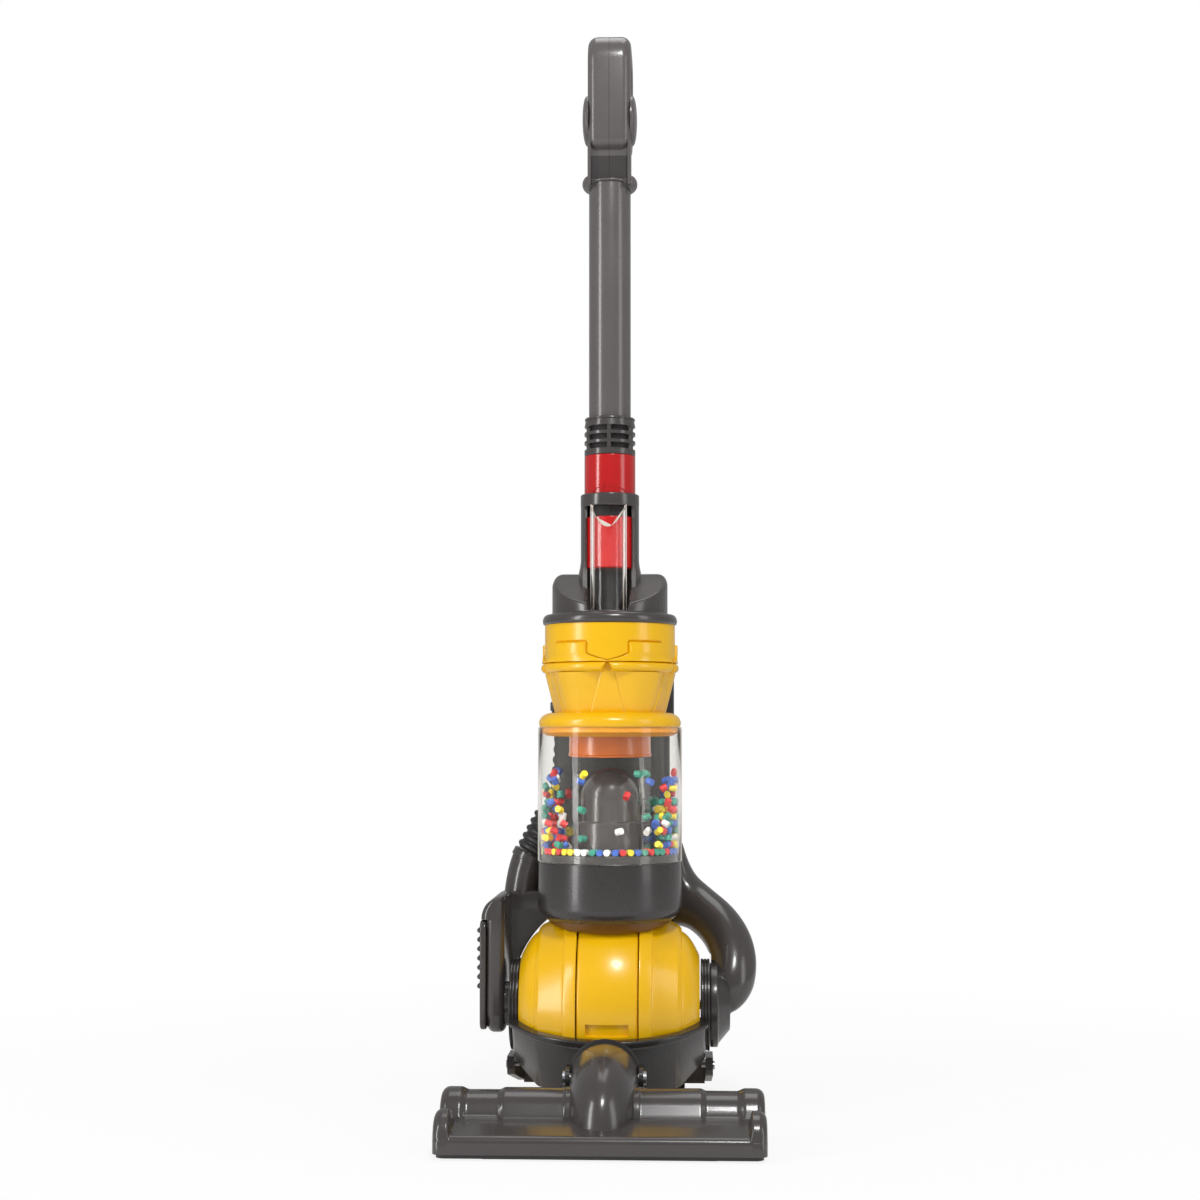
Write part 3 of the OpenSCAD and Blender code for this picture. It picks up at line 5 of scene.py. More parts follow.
import bmesh
import bpy
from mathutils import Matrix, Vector


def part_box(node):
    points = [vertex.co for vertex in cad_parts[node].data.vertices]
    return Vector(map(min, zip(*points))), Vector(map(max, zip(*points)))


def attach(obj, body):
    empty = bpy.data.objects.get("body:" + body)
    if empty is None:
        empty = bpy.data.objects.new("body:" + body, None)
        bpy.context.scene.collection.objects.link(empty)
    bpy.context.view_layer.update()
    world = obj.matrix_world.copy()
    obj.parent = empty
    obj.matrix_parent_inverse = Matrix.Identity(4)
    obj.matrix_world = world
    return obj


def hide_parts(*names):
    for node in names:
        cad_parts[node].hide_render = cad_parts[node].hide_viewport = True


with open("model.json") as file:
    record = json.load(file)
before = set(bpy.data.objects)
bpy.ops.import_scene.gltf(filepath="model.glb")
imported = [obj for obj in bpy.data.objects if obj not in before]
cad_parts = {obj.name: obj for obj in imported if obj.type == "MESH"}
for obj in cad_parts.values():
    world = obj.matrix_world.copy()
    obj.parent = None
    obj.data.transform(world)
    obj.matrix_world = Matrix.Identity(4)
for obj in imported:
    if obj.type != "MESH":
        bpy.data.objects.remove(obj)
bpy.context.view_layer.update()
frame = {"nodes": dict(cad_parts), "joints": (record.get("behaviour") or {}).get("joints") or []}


# Camera: it stands about level with the bin's collar, a little to the right, with its lens
# shifted up, as the toy was photographed. Its lengths and the lamps' are in metres.
scene = bpy.context.scene
scene.view_settings.view_transform = "Standard"
axle_lo, axle_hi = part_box("axle")
camera_distance = 1.2755
camera_turn = radians(2.5)
camera_tilt = radians(1)
camera_height = 0.2321
camera_aside = -0.0068
camera_aim = (axle_lo.y + axle_hi.y)/2
camera_data = bpy.data.cameras.new("camera")
camera_data.sensor_width = 36
camera_data.lens = 60
camera_data.shift_y = 0.0886
camera = bpy.data.objects.new("camera", camera_data)
camera.location = (camera_distance*sin(camera_turn) + camera_aside,
                   camera_aim - camera_distance*cos(camera_turn), camera_height)
camera.rotation_euler = (radians(90) + camera_tilt, 0, camera_turn)
scene.collection.objects.link(camera)
scene.camera = camera


# Studio: a white floor with white walls all round, a round key lamp above the camera, a tall
# soft box on the left, a broader one on the right, and a square lamp high behind the toy.
def add(tree, kind, inputs=None, **settings):
    node = tree.nodes.new(kind)
    for name, setting in settings.items():
        setattr(node, name, setting)
    for name, given in (inputs or {}).items():
        if isinstance(given, bpy.types.Node):
            given = given.outputs[0]
        if isinstance(given, bpy.types.NodeSocket):
            tree.links.new(given, node.inputs[name])
        else:
            node.inputs[name].default_value = given
    return node


def seen_directly(tree):
    rays = add(tree, "ShaderNodeLightPath").outputs
    either = {0: rays["Is Camera Ray"], 1: rays["Is Transmission Ray"]}
    return add(tree, "ShaderNodeMath", either, operation="MAXIMUM")


def new_material(name):
    material = bpy.data.materials.new(name)
    material.use_nodes = True
    material.node_tree.nodes.clear()
    return material, material.node_tree


world = bpy.data.worlds.new("studio_walls")
world.use_nodes = True
walls = world.node_tree
walls.nodes.clear()
wall_light = add(walls, "ShaderNodeMapRange", {"Value": seen_directly(walls), "To Min": 0.36, "To Max": 1.0})
wall_shade = add(walls, "ShaderNodeBackground", {"Color": (1, 1, 1, 1), "Strength": wall_light})
add(walls, "ShaderNodeOutputWorld", {"Surface": wall_shade})
scene.world = world

floor_half = 4.0
floor_mesh = bpy.data.meshes.new("studio_floor")
floor_mesh.from_pydata([(-floor_half, -floor_half, 0), (floor_half, -floor_half, 0),
                        (floor_half, floor_half, 0), (-floor_half, floor_half, 0)], [], [(0, 1, 2, 3)])
floor = bpy.data.objects.new("studio_floor", floor_mesh)
scene.collection.objects.link(floor)
paper, sheet = new_material("white_paper")
matt = add(sheet, "ShaderNodeBsdfDiffuse", {"Color": (0.9, 0.9, 0.9, 1)})
lit = add(sheet, "ShaderNodeEmission", {"Color": (1, 1, 1, 1), "Strength": 1.0})
spot = add(sheet, "ShaderNodeNewGeometry").outputs["Position"]
reach = add(sheet, "ShaderNodeVectorMath", {0: spot}, operation="LENGTH")
fade = add(sheet, "ShaderNodeMapRange", {
    "Value": reach.outputs["Value"], "From Min": 0.15, "From Max": 0.75, "To Min": 0.86, "To Max": 1.0})
white = add(sheet, "ShaderNodeMath", {0: seen_directly(sheet), 1: fade}, operation="MULTIPLY")
paper_mix = add(sheet, "ShaderNodeMixShader", {0: white, 1: matt, 2: lit})
add(sheet, "ShaderNodeOutputMaterial", {"Surface": paper_mix})
floor_mesh.materials.append(paper)

lamp_aim = Vector((0, camera_aim, 0.28))


def lamp(name, turn, rise, distance, size, watts, shape="RECTANGLE"):
    data = bpy.data.lights.new(name, "AREA")
    data.shape = shape
    data.size, data.size_y = size
    data.energy = watts
    obj = bpy.data.objects.new(name, data)
    turn = radians(turn)
    rise = radians(rise)
    away = Vector((cos(rise)*sin(turn), -cos(rise)*cos(turn), sin(rise)))
    obj.location = lamp_aim + away*distance
    obj.rotation_euler = (-away).to_track_quat("-Z", "Y").to_euler()
    scene.collection.objects.link(obj)


lamp("key_lamp", 12, 46, 1.7, (0.34, 0.34), 12.5, "DISK")
lamp("left_soft_box", -54, 8, 1.5, (0.26, 1.5), 12)
lamp("right_soft_box", 62, 14, 1.8, (0.5, 1.4), 6)
lamp("back_lamp", 170, 74, 1.8, (0.9, 0.9), 6)


# Floor head: one glossy grey moulding with a low front bar, a round back bar, a raised
# middle and rounded ends, closed below by a dark sole plate with two felt strips. From here
# on, lengths are in millimetres until a mesh is made.
MM = 0.001


def span(node):
    lo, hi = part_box(node)
    return lo/MM, hi/MM


def step(a, b, x):
    t = min(max((x - a)/(b - a), 0), 1)
    return t*t*(3 - 2*t)


def soft_max(a, b, width):
    return max(a, b) + max(width - abs(a - b), 0)**2/(4*width)


def steps(a, b, count):
    return [a + (b - a)*i/count for i in range(count + 1)]


def placed_mesh(name, mesh, sharp):
    mesh.shade_smooth()
    mesh.set_sharp_from_angle(angle=radians(sharp))
    obj = bpy.data.objects.new(name, mesh)
    scene.collection.objects.link(obj)
    return obj


def mesh_object(name, points, faces, sharp=38):
    mesh = bpy.data.meshes.new(name)
    bm = bmesh.new()
    corners = [bm.verts.new(Vector(p)*MM) for p in points]
    for face in faces:
        bm.faces.new([corners[i] for i in face])
    bmesh.ops.remove_doubles(bm, verts=bm.verts, dist=2e-6)
    bmesh.ops.dissolve_degenerate(bm, edges=bm.edges, dist=1e-6)
    bmesh.ops.recalc_face_normals(bm, faces=bm.faces)
    bm.to_mesh(mesh)
    bm.free()
    return placed_mesh(name, mesh, sharp)


def loft(name, rings, closed=False, sharp=38):
    count = len(rings[0])
    points = [p for ring in rings for p in ring]
    faces = []
    for i in range(len(rings) if closed else len(rings) - 1):
        a = i*count
        b = (i + 1) % len(rings)*count
        for k in range(count):
            n = (k + 1) % count
            faces.append((a + k, a + n, b + n, b + k))
    if not closed:
        last = (len(rings) - 1)*count
        faces.append(tuple(range(count - 1, -1, -1)))
        faces.append(tuple(last + k for k in range(count)))
    return mesh_object(name, points, faces, sharp)


def srgb(r, g, b):
    return tuple(((c/255 + 0.055)/1.055)**2.4 if c > 10 else c/255/12.92 for c in (r, g, b)) + (1,)


def moulded_grain():
    group = bpy.data.node_groups.new("moulded_grain", "ShaderNodeTree")
    for way, names in (("INPUT", ("Colour", "Shift", "Roughness", "Cloud Scale", "Grain Scale")),
                       ("OUTPUT", ("Colour", "Roughness", "Height"))):
        for name in names:
            kind = "NodeSocketColor" if name == "Colour" else "NodeSocketFloat"
            group.interface.new_socket(name, in_out=way, socket_type=kind)
    given = add(group, "NodeGroupInput").outputs
    place = add(group, "ShaderNodeTexCoord").outputs["Object"]

    def scaled(a, b, c):
        return add(group, "ShaderNodeMath", {0: a, 1: b, 2: c}, operation="MULTIPLY_ADD")

    cloud = add(group, "ShaderNodeTexNoise", {"Vector": place, "Scale": given["Cloud Scale"], "Detail": 3.0})
    grain = add(group, "ShaderNodeTexNoise", {"Vector": place, "Scale": given["Grain Scale"], "Detail": 2.0})
    swing = add(group, "ShaderNodeMath", {0: cloud, 1: 0.5}, operation="SUBTRACT")
    shade = scaled(swing, given["Shift"], 1.0)
    tint = add(group, "ShaderNodeVectorMath", {0: given["Colour"], "Scale": shade}, operation="SCALE")
    rough = scaled(swing, 0.16, scaled(grain, 0.05, given["Roughness"]))
    add(group, "NodeGroupOutput", {"Colour": tint, "Roughness": rough, "Height": grain})
    return group


grain_group = moulded_grain()


def grained(tree, colour, rough, shift, cloud, grain, bump):
    skin = add(tree, "ShaderNodeGroup", {"Colour": colour, "Shift": shift, "Roughness": rough,
                                         "Cloud Scale": cloud, "Grain Scale": grain}, node_tree=grain_group)
    made = skin.outputs
    relief = add(tree, "ShaderNodeBump", {"Height": made["Height"], "Strength": bump, "Distance": 0.0004})
    return {"Base Color": made["Colour"], "Roughness": made["Roughness"], "Normal": relief}


def moulded(name, colour, rough, shift=0.18, coat=0.0, grain=1400.0, bump=0.06, metal=0.0):
    material, tree = new_material(name)
    looks = grained(tree, colour, rough, shift, 26.0, grain, bump)
    looks |= {"Coat Weight": coat, "Coat Roughness": 0.06, "IOR": 1.5, "Metallic": metal}
    body = add(tree, "ShaderNodeBsdfPrincipled", looks)
    add(tree, "ShaderNodeOutputMaterial", {"Surface": body})
    return material


def dress(obj, material, body, node):
    obj.data.materials.clear()
    obj.data.materials.append(material)
    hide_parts(node)
    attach(obj, body)


def coat_nodes(material, *nodes):
    for node in nodes:
        mesh = frame["nodes"][node].data
        mesh.materials.clear()
        mesh.materials.append(material)


grey_gloss = moulded("grey_gloss_plastic", srgb(66, 62, 61), 0.2, 0.2, 0.25)

head_lo, head_hi = span("head_top_shell")
head_half = head_hi.x
front_y = head_lo.y
sole_top = span("sole_plate")[1].z
lobe_rise = 1.6
bar_r = 16
bar_y = head_hi.y - lobe_rise - bar_r
bar_z = head_hi.z - lobe_rise - bar_r
front_h = 13
front_edge = 3.5
lobe_w = 12
front_lobe_w = 9
front_lobe_r = 15.5
front_lobe_z = 10.5
centre_half = 60
centre_rise = 1.3
root_half = 21.5
root_rise = 0.6
end_round = 5
deck_foot = 4
deck_run = bar_y - sqrt(bar_r**2 - deck_foot**2) - front_y
deck_slope = (bar_z + deck_foot - front_h)/deck_run


def end_lobe(x, width):
    return step(head_half - width - 4, head_half - width + 1, x)


def bar_swell(x):
    centre = centre_rise*(1 - step(centre_half - 4, centre_half, x))
    root = root_rise*(1 - step(root_half - 0.7, root_half + 0.7, x))
    return bar_r + max(centre + root, lobe_rise*end_lobe(x, lobe_w))


def head_section(x):
    over = abs(x) - (head_half - end_round)
    inset = end_round - sqrt(max(end_round**2 - over**2, 0)) if over > 0 else 0
    radius = bar_swell(abs(x))
    lobe = end_lobe(abs(x), front_lobe_w)
    pad_y = front_y + front_lobe_r + 0.5
    first = front_y + inset
    last = bar_y + radius - inset
    ring = [(x, first, sole_top)]
    for t in steps(0, pi, 60):
        y = (first + last)/2 - (last - first)/2*cos(t)
        run = y - first
        nose = front_edge - sqrt(max(front_edge**2 - (front_edge - run)**2, 0)) if run < front_edge else 0
        deck = front_h + deck_slope*run - nose - inset if y < bar_y - radius*0.6 else 0
        over_bar = (radius - inset)**2 - (y - bar_y)**2
        back = bar_z + sqrt(over_bar) if over_bar > 0 else 0
        pad = lobe*(front_lobe_z + sqrt(max((front_lobe_r - inset)**2 - (y - pad_y)**2, 0)))
        ring.append((x, y, max(soft_max(soft_max(deck, pad, 1.6), back, 1.4), sole_top + 0.1)))
    ring.append((x, last, sole_top))
    return ring


head_half_steps = (steps(0, 19, 8) + steps(20, 23, 8) + steps(24, 55, 12) + steps(55.5, 61, 12)
                   + steps(62, 76, 6) + steps(76.5, 86, 20)
                   + [head_half - end_round + end_round*sin(pi/2*i/12) for i in range(-2, 13)])
head_steps = sorted({round(x*s, 3) for x in head_half_steps for s in (-1, 1)})
head_shell = loft("head_top_shell_skin", [head_section(x) for x in head_steps])
dress(head_shell, grey_gloss, "floor_head", "head_top_shell")

sole_black = moulded("sole_plastic", srgb(44, 42, 42), 0.42, 0.25)
coat_nodes(sole_black, "sole_plate")
felt = moulded("felt_strip", srgb(70, 70, 72), 0.92, 0.5, 0, 2600.0, 0.7)
coat_nodes(felt, "sole_felts")
screw_steel = moulded("screw_steel", srgb(176, 178, 182), 0.3, 0.1, metal=1.0)
coat_nodes(screw_steel, "head_screws")


# Neck: an egg-shaped grey dome over the head's middle, which nods on two steel pins in
# the ears of a dark collar. The collar's shank turns in the yoke's boss.
def turns(count):
    return [2*pi*k/count for k in range(count)]


def ellipse_ring(y, centre_z, wide, high):
    return [(wide*cos(t), y, max(centre_z + high*sin(t), dome_lo.z)) for t in turns(56)]


pivot = Vector(next(j for j in frame["joints"] if j["name"] == "head_pitch")["pos_m"])/MM
dome_lo, dome_hi = span("neck_dome")
dome_r = dome_hi.z - pivot.z
dome_tip = -111
dome_tip_z = 12
top_curve = 2.3
side_curve = 5
dome_rings = []
for a in steps(0, pi/2, 13)[1:]:
    ball_cut = dome_r*sin(a)
    dome_rings.append(ellipse_ring(pivot.y + dome_r*cos(a), pivot.z, ball_cut, ball_cut))
for a in steps(0, pi/2, 32)[1:]:
    u = sin(a)
    y = pivot.y + (dome_tip - pivot.y)*u
    top = dome_tip_z + (pivot.z + dome_r - dome_tip_z)*max(1 - u**top_curve, 0)**0.5
    centre_z = pivot.z + (dome_tip_z - 2 - pivot.z)*u
    wide = dome_r*max(1 - u**side_curve, 0)**0.6
    dome_rings.append(ellipse_ring(y, centre_z, max(wide, 0.2), max(top - centre_z, 0.2)))
neck_dome = loft("neck_dome_skin", dome_rings, sharp=60)
dress(neck_dome, grey_gloss, "floor_head", "neck_dome")
dark_gloss = moulded("dark_gloss_plastic", srgb(52, 49, 48), 0.24, 0.2, 0.2)
coat_nodes(dark_gloss, "swivel_collar")
coat_nodes(screw_steel, "neck_pins")


# Yoke: a dark bowl moulded round the front of the ball, with a rolled rim, flat side walls
# and a thick disc on each end of the axle. A stand with two rollers is screwed behind it.
def rounded(points, radius, count=5):
    out = []
    for i, p in enumerate(points):
        r = radius[i] if isinstance(radius, (list, tuple)) else radius
        here = Vector(p)
        before = Vector(points[i - 1]) - here
        after = Vector(points[(i + 1) % len(points)]) - here
        if r <= 0 or before.length < 1e-6 or after.length < 1e-6:
            out.append(tuple(here))
            continue
        u = before.normalized()
        v = after.normalized()
        half = u.angle(v, pi)/2
        if half > radians(88):
            out.append(tuple(here))
            continue
        reach = min(r/tan(half), before.length*0.49, after.length*0.49)
        r = reach*tan(half)
        hub = here + (u + v).normalized()*(r/sin(half))
        start = here + u*reach - hub
        end = here + v*reach - hub
        turn = atan2(start.x*end.y - start.y*end.x, start.dot(end))
        for k in range(count + 1):
            c = cos(turn*k/count)
            s = sin(turn*k/count)
            out.append((hub.x + start.x*c - start.y*s, hub.y + start.x*s + start.y*c))
    return out


def lathe(name, profile, centre, axis="Z", count=96, sharp=38):
    rings = []
    for a in turns(count):
        ring = []
        for r, h in profile:
            p = (h, r*cos(a), r*sin(a)) if axis == "X" else (r*cos(a), r*sin(a), h)
            ring.append(Vector(centre) + Vector(p))
        rings.append(ring)
    return loft(name, rings, closed=True, sharp=sharp)


def joined(name, parts, sharp=38):
    bm = bmesh.new()
    for part in parts:
        bm.from_mesh(part.data)
        bpy.data.objects.remove(part)
    mesh = bpy.data.meshes.new(name)
    bm.to_mesh(mesh)
    bm.free()
    return placed_mesh(name, mesh, sharp)


def middle(node):
    lo, hi = span(node)
    return [(a + b)/2 for a, b in zip(lo, hi)]


axle_centre = Vector((0, (axle_lo.y + axle_hi.y)/2, (axle_lo.z + axle_hi.z)/2))/MM
axle_hole = 3.1
ball_r = axle_centre.z
shoulder_x = 45
disc_in = 57.2
disc_out = 62.8
disc_r = 29
side_out = 60.2
side_r = disc_r + 8
side_low = disc_r - 4
side_round = 9
yoke_in_r = ball_r + 2
yoke_wall = 4.6
rim_low = 11
yoke_low = 57
yoke_floor = 18
rim_lip = 1.5
lip_low = rim_low + 3.4
lip_end = rim_low + 4.6
groove_deep = 0.9
groove_half = 0.4


def yoke_spine(wall):
    curve = [(x, sqrt((yoke_in_r + wall)**2 - x*x)) for x in steps(-shoulder_x, shoulder_x, 44)]
    foot = side_r - yoke_wall + wall
    out = side_out - yoke_wall + wall
    return rounded([(-out, side_low), (-out, foot)] + curve + [(out, foot), (out, side_low)],
                   [0, side_round] + [0]*len(curve) + [side_round, 0])


rim_section = rounded([(rim_low, 0.0), (rim_low, yoke_wall + rim_lip), (lip_low, yoke_wall + rim_lip),
                       (lip_end, yoke_wall), (yoke_low, yoke_wall), (yoke_low, 0.0)],
                      [0.4, 0.9, 0.8, 0.6, 1.2, 0.4], 4)
inner_spine = yoke_spine(0)
outer_spine = yoke_spine(yoke_wall)
yoke_rings = []
for (x0, r0), (x1, r1) in zip(inner_spine, outer_spine):
    ring = []
    for low, out in rim_section:
        share = out/yoke_wall
        x = x0 + (x1 - x0)*share
        r = r0 + (r1 - r0)*share
        turn = min(radians(low), asin(min((axle_centre.z - yoke_floor)/r, 1)))
        ring.append((x, axle_centre.y - r*cos(turn), axle_centre.z - r*sin(turn)))
    yoke_rings.append(ring)
yoke_parts = [loft("yoke_bowl", yoke_rings)]
disc_line = [(axle_hole, disc_in), (disc_r, disc_in)]
for groove in (disc_in + 1.9, disc_in + 3.8):
    disc_line += [(disc_r, groove - groove_half), (disc_r - groove_deep, groove),
                  (disc_r, groove + groove_half)]
disc = rounded(disc_line + [(disc_r, disc_out), (axle_hole, disc_out)], 0.35, 3)
for side in (-1, 1):
    yoke_parts.append(lathe("yoke_disc", [(r, side*h) for r, h in disc], axle_centre, "X"))
yoke = joined("yoke_skin", yoke_parts)
# The yoke's dark grey is darkened further: painted shade for its underside, which faces the floor.
yoke_painted_shade = moulded("yoke_painted_shade_plastic", srgb(40, 37, 36), 0.24, 0.15, 0.2)
dress(yoke, yoke_painted_shade, "yoke", "yoke")
coat_nodes(dark_gloss, "rear_stand")
coat_nodes(screw_steel, "stand_screws", "roller_axle")
roller_bore = 1.6
roller_black = moulded("roller_rubber", srgb(36, 35, 35), 0.55, 0.25)
for roller in ("left_roller", "right_roller"):
    lo, hi = span(roller)
    r = (hi.z - lo.z)/2
    tread = [(roller_bore, lo.x), (r - 0.6, lo.x), (r, lo.x + 1), (r, hi.x - 1), (r - 0.6, hi.x),
             (roller_bore, hi.x)]
    tyre = lathe(roller + "_skin", rounded(tread, 0.5, 3), (0, *middle(roller)[1:]), "X", 40)
    dress(tyre, roller_black, roller, roller)


# Ball: two yellow shells and a middle band, moulded in glossy plastic and clipped together
# on the axle. A rib runs round beside each seam, and the band has a finger notch.
yellow_gloss = moulded("yellow_gloss_plastic", srgb(238, 184, 6), 0.22, 0.12, 0.12)
band_half = 18.9
rib_w = 8.2
rib_h = 1.6
skin_dip = 0.9
ledge_h = 1.2
ball_half = 56.4
ball_end_r = 32
seam = 0.35
shell_wall = 2.2
slope_swell = 2.2


def ball_at(x, rise=0):
    return (sqrt((ball_r + rise)**2 - x*x), x)


def ball_shell_profile():
    rib = [ball_at(x, rib_h) for x in steps(band_half + seam, band_half + rib_w, 5)]
    skin_in = band_half + rib_w + 0.2
    skin_w = shoulder_x - 2.2 - skin_in
    skin = [ball_at(skin_in + skin_w*t, -skin_dip + (ledge_h + skin_dip)*t*t) for t in steps(0, 1, 10)]
    ledge = [ball_at(shoulder_x - 2, ledge_h), ball_at(shoulder_x, ledge_h - 0.2)]
    low_r = ball_at(shoulder_x)[0]
    slope = []
    for t in steps(0, 1, 8):
        r = low_r - 0.6 + (ball_end_r + 1 - low_r)*t + slope_swell*sin(pi*t)
        slope.append((r, shoulder_x + 0.3 + (ball_half - 0.8 - shoulder_x)*t))
    end = [(ball_end_r - 1, ball_half), (axle_hole, ball_half), (axle_hole, ball_half - shell_wall)]
    inner = [(ball_end_r - 3, ball_half - shell_wall)]
    inner += [ball_at(x, -shell_wall) for x in (shoulder_x - 2, 30, band_half + seam)]
    radii = [0.5] + [0]*4 + [0.4, 0.2] + [0]*(len(skin) - 2) + [0.3, 0.3, 0.4]
    radii += [0]*len(slope) + [0.8, 0, 0] + [0]*len(inner)
    return rounded(rib + skin + ledge + slope + end + inner, radii, 3)


shell_profile = ball_shell_profile()
for side, name in ((1, "ball_right_shell"), (-1, "ball_left_shell")):
    shell = lathe(name + "_skin", [(r, side*x) for r, x in shell_profile], axle_centre, "X", 144, 30)
    dress(shell, yellow_gloss, "ball", name)

notch_half = 13
notch_low = 7.2
notch_high_deg = 3.3
notch_deep = 2.0
notch_edge = 0.05
band_wall = 2.6


def band_ring(low):
    ring = []
    inside = abs(low - notch_low) < notch_high_deg
    xs = steps(-band_half + seam, -notch_half - notch_edge, 8) + steps(-notch_half, notch_half, 14)
    xs += steps(notch_half + notch_edge, band_half - seam, 8)
    for x in xs:
        r = ball_at(x, -notch_deep if inside and abs(x) <= notch_half else 0)[0]
        if abs(x) > band_half - 0.5:
            r -= 0.5
        ring.append((r, x))
    ring += [ball_at(x, -band_wall) for x in steps(band_half - seam, -band_half + seam, 12)]
    a = radians(low)
    return [(x, axle_centre.y - r*cos(a), axle_centre.z - r*sin(a)) for r, x in ring]


notch_edges = [notch_low + side*notch_high_deg + shift
               for side in (-1, 1) for shift in (-notch_edge, notch_edge)]
band_lows = sorted(steps(notch_edges[1], notch_edges[2], 4) + [notch_edges[0], notch_edges[3]]
                   + steps(notch_edges[3] + 2.5, notch_edges[0] + 357.5, 138))
ball_band = loft("ball_band_skin", [band_ring(low) for low in band_lows], closed=True, sharp=30)
dress(ball_band, yellow_gloss, "ball", "ball_band")
coat_nodes(screw_steel, "axle")


# Saddle and bin base: a yellow cup that sits over the ball, coloured dark mustard as painted
# shade under the tub, and a dark turned tub with a round lower edge that carries the clear
# bin and hides the motor.
base_lo, base_hi = span("bin_base")
bin_lo, bin_hi = span("clear_bin")
bin_axis = Vector(((bin_lo.x + bin_hi.x)/2, (bin_lo.y + bin_hi.y)/2, 0))
bin_r = (bin_hi.x - bin_lo.x)/2
saddle_r = span("ball_saddle")[1].x
base_z = base_lo.z
base_top = bin_lo.z
bin_floor = base_hi.z
saddle_gap = 2.3
saddle_wall = 2.4
saddle_taper = 9
saddle_drop = 21
saddle_lap = 3


def heading(turn):
    return Vector((cos(turn), sin(turn), 0))


def by_bin(out, r, z):
    return bin_axis + out*r + Vector((0, 0, z))


def ball_clear(x, y):
    away = Vector((x, y - axle_centre.y)).length
    return axle_centre.z + sqrt(max((ball_r + saddle_gap)**2 - away**2, 0))


def saddle_point(out, r, t, lift):
    p = by_bin(out, r - saddle_taper*t*t, base_z + saddle_lap - saddle_drop*t)
    p.z = max(p.z, ball_clear(p.x, p.y) + lift)
    return p


def saddle_ring(turn):
    out = heading(turn)
    skin = [saddle_point(out, saddle_r, t, 0) for t in steps(0, 1, 12)]
    inner = [saddle_point(out, saddle_r - saddle_wall, t, 0.2) for t in steps(1, 0, 4)]
    return skin + inner + [by_bin(out, r, base_z + 2*saddle_lap) for r in (saddle_r - saddle_wall, saddle_r)]


# Dark mustard-brown: painted shade on the yellow saddle, under the tub above it.
saddle_painted_shade = moulded("saddle_painted_shade_plastic", srgb(106, 68, 12), 0.34, 0.15, 0.1)
saddle = loft("ball_saddle_skin", [saddle_ring(a) for a in turns(128)], closed=True, sharp=50)
dress(saddle, saddle_painted_shade, "upright", "ball_saddle")

base_corner = 9
base_drop = 8
base_floor = 3
base_in = bin_r - 4
bin_wall = 1.6


def arc(centre, r, a0, a1, count):
    return [(centre[0] + r*cos(radians(a)), centre[1] + r*sin(radians(a))) for a in steps(a0, a1, count)]


def base_ring(turn):
    out = heading(turn)
    hem = by_bin(out, bin_r - base_corner, 0)
    low = max(base_z - base_drop*step(-0.7, 0, -out.y), min(ball_clear(hem.x, hem.y) + 2, base_z))
    profile = [(saddle_r + 0.4, low + 3)]
    profile += arc((bin_r - base_corner, low + base_corner), base_corner, -64, 0, 14)
    profile += rounded([(bin_r, base_top - 1.2), (bin_r - 0.5, base_top - 0.3),
                        (bin_r - bin_wall - 0.1, base_top - 0.3), (bin_r - bin_wall - 0.2, bin_floor - 0.2),
                        (bin_r - 3, bin_floor), (1, bin_floor)], [0.6, 0.3, 0.2, 0.5, 0, 0], 3)
    profile += [(1, bin_floor - base_floor), (base_in, bin_floor - base_floor), (base_in, base_z + 8),
                (saddle_r + 0.4, base_z + 7)]
    return [by_bin(out, r, z) for r, z in profile]


base_tub = loft("bin_base_skin", [base_ring(a) for a in turns(144)], closed=True)
dress(base_tub, dark_gloss, "upright", "bin_base")
can_steel = moulded("motor_can_steel", srgb(168, 170, 172), 0.32, 0.1, metal=1.0)
coat_nodes(can_steel, "motor")


# Clear bin: a thin tube of see-through styrene, closed above by a yellow collar with a
# rolled rim, a band that plugs into the tube, painted darker amber as shade under the rim,
# and an orange-yellow baffle hanging below, painted deeper orange as shade in the bin.
# A grey dome stands on its floor, over a small white fan.
def clear_plastic(name, tint, rough):
    material, tree = new_material(name)
    looks = grained(tree, tint, rough, 0.02, 12.0, 60.0, 0.02)
    glass = add(tree, "ShaderNodeBsdfPrincipled", looks | {"Transmission Weight": 1.0, "IOR": 1.3})
    through = add(tree, "ShaderNodeBsdfTransparent", {"Color": (0.97, 0.97, 0.96, 1)})
    # A pale beige diffuse at the grazing edges is a painted edge highlight, standing in for light carried
    # along the clear wall.
    painted_edge_light = add(tree, "ShaderNodeBsdfDiffuse", {"Color": srgb(246, 240, 228)})
    facing = add(tree, "ShaderNodeLayerWeight", {"Blend": 0.5}).outputs["Facing"]
    rim = add(tree, "ShaderNodeMapRange", {
        "Value": facing, "From Min": 0.74, "From Max": 0.95, "To Min": 0.0, "To Max": 0.86})
    painted_edges_mix = add(tree, "ShaderNodeMixShader", {0: rim, 1: glass, 2: painted_edge_light})
    shadow = add(tree, "ShaderNodeLightPath").outputs["Is Shadow Ray"]
    mix = add(tree, "ShaderNodeMixShader", {0: shadow, 1: painted_edges_mix, 2: through})
    add(tree, "ShaderNodeOutputMaterial", {"Surface": mix})
    return material


def paint(obj, material, chosen):
    obj.data.materials.append(material)
    for face in obj.data.polygons:
        if chosen(Vector(face.center)/MM - bin_axis):
            face.material_index = 1


def box_line(x0, y0, x1, y1, radius, count):
    return rounded([(x0, y0), (x1, y0), (x1, y1), (x0, y1)], radius, count)


clear_styrene = clear_plastic("clear_styrene", srgb(250, 249, 246), 0.01)
bin_line = box_line(bin_r - bin_wall, bin_lo.z, bin_r, bin_hi.z, 0.35, 3)
bin_tube = lathe("clear_bin_skin", bin_line, bin_axis, "Z", 160)
dress(bin_tube, clear_styrene, "upright", "clear_bin")

